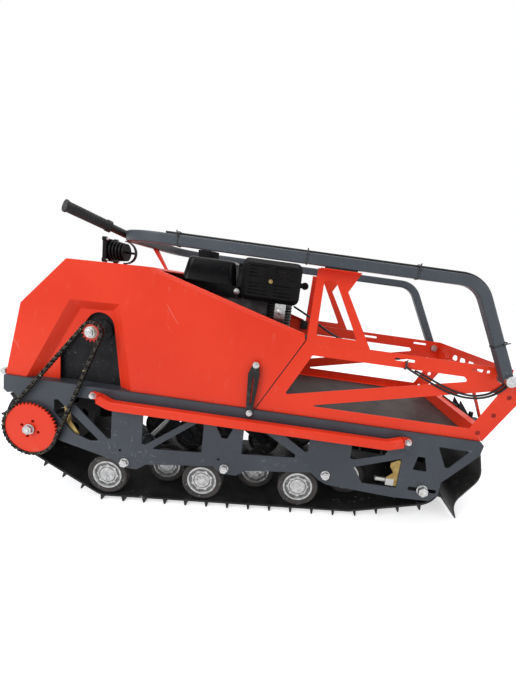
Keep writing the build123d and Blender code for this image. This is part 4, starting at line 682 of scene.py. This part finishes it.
for name, (length, route) in cable_routes.items():
    line = bpy.data.curves.new(f"{name}_line", "CURVE")
    line.dimensions = "3D"
    line.bevel_depth = sleeve_d / 2
    line.bevel_resolution = 4
    line.resolution_u = 12
    line.use_fill_caps = True
    line.materials.append(sleeve)
    spline = line.splines.new("NURBS")
    spline.points.add(len(route) - 1)
    for point, at in zip(spline.points, route):
        point.co = (*(deck @ Vector(at)), 1)
    spline.order_u = 3
    spline.use_endpoint_u = True
    cable = bpy.data.objects.new(f"{name}_line", line)
    scene.collection.objects.link(cable)
    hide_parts(name)
    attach(cable, "machine")

# Zip ties: nylon bands that hold the cable on the handle's left arm, each with a lock and an
# untrimmed tail.
nylon, shader, place = surface("black_nylon")
place.clouds(80.0, 3.0, (0.012, 0.012, 0.013, 1), (0.026, 0.026, 0.028, 1)).to(shader, "Base Color")
(place.noise(120.0, 3.0) * 0.15 + 0.34).to(shader, "Roughness")
(place.axis("X") * 4000.0).maths("SINE").bump(shader, 0.2, 0.0003)


def zip_band(name, deep, tall, lift):
    """A closed band round a box of that depth and height, with its lock and tail on the left."""
    form = bmesh.new()
    band_w, band_t = 0.0045, 0.0012
    block(form, (band_w, deep, tall), Matrix.Translation((0, 0, lift)))
    ends = [f for f in form.faces if abs(f.normal.x) > 0.9]
    bmesh.ops.delete(form, geom=ends, context="FACES_ONLY")
    bends = [e for e in form.edges if abs((e.verts[0].co - e.verts[1].co).x) > 0.9 * band_w]
    soften(form, bends, 0.22 * deep, 4)
    bmesh.ops.solidify(form, geom=form.faces[:], thickness=-band_t)
    lock = Matrix.Translation((0, -deep / 2 - 0.0015, lift + 0.2 * tall))
    block(form, (0.0060, 0.0045, 0.0060), lock)
    tail = block(form, (0.0032, 0.0011, 0.014), lock @ Matrix.Translation((0, 0, 0.009)))
    bmesh.ops.rotate(form, cent=lock.translation, matrix=Matrix.Rotation(0.35, 3, "X"), verts=tail)
    return keep(form, name)


arm_band = zip_band("arm_band", 0.0336, 0.0412, 0.0036)
ties = bmesh.new()
arm_y, arm_z = -0.303, 0.495
tie_places = [(x, arm_z, 0.0) for x in (-0.380, 0.0, 0.325)] + [(0.6035, 0.320, radians(61.6))]
for x, z, turn in tie_places:
    stamp(ties, arm_band, Matrix.Translation((x, arm_y, z)) @ Matrix.Rotation(turn, 4, "Y"))
fit(ties, "arm_ties", nylon, body="handle")
rail_tie = bmesh.new()
stamp(rail_tie, zip_band("rail_band", 0.0130, 0.0250, 0.0), Matrix.Translation((0.354, -0.2782, 0.2160)))
fit(rail_tie, "rail_tie", nylon)
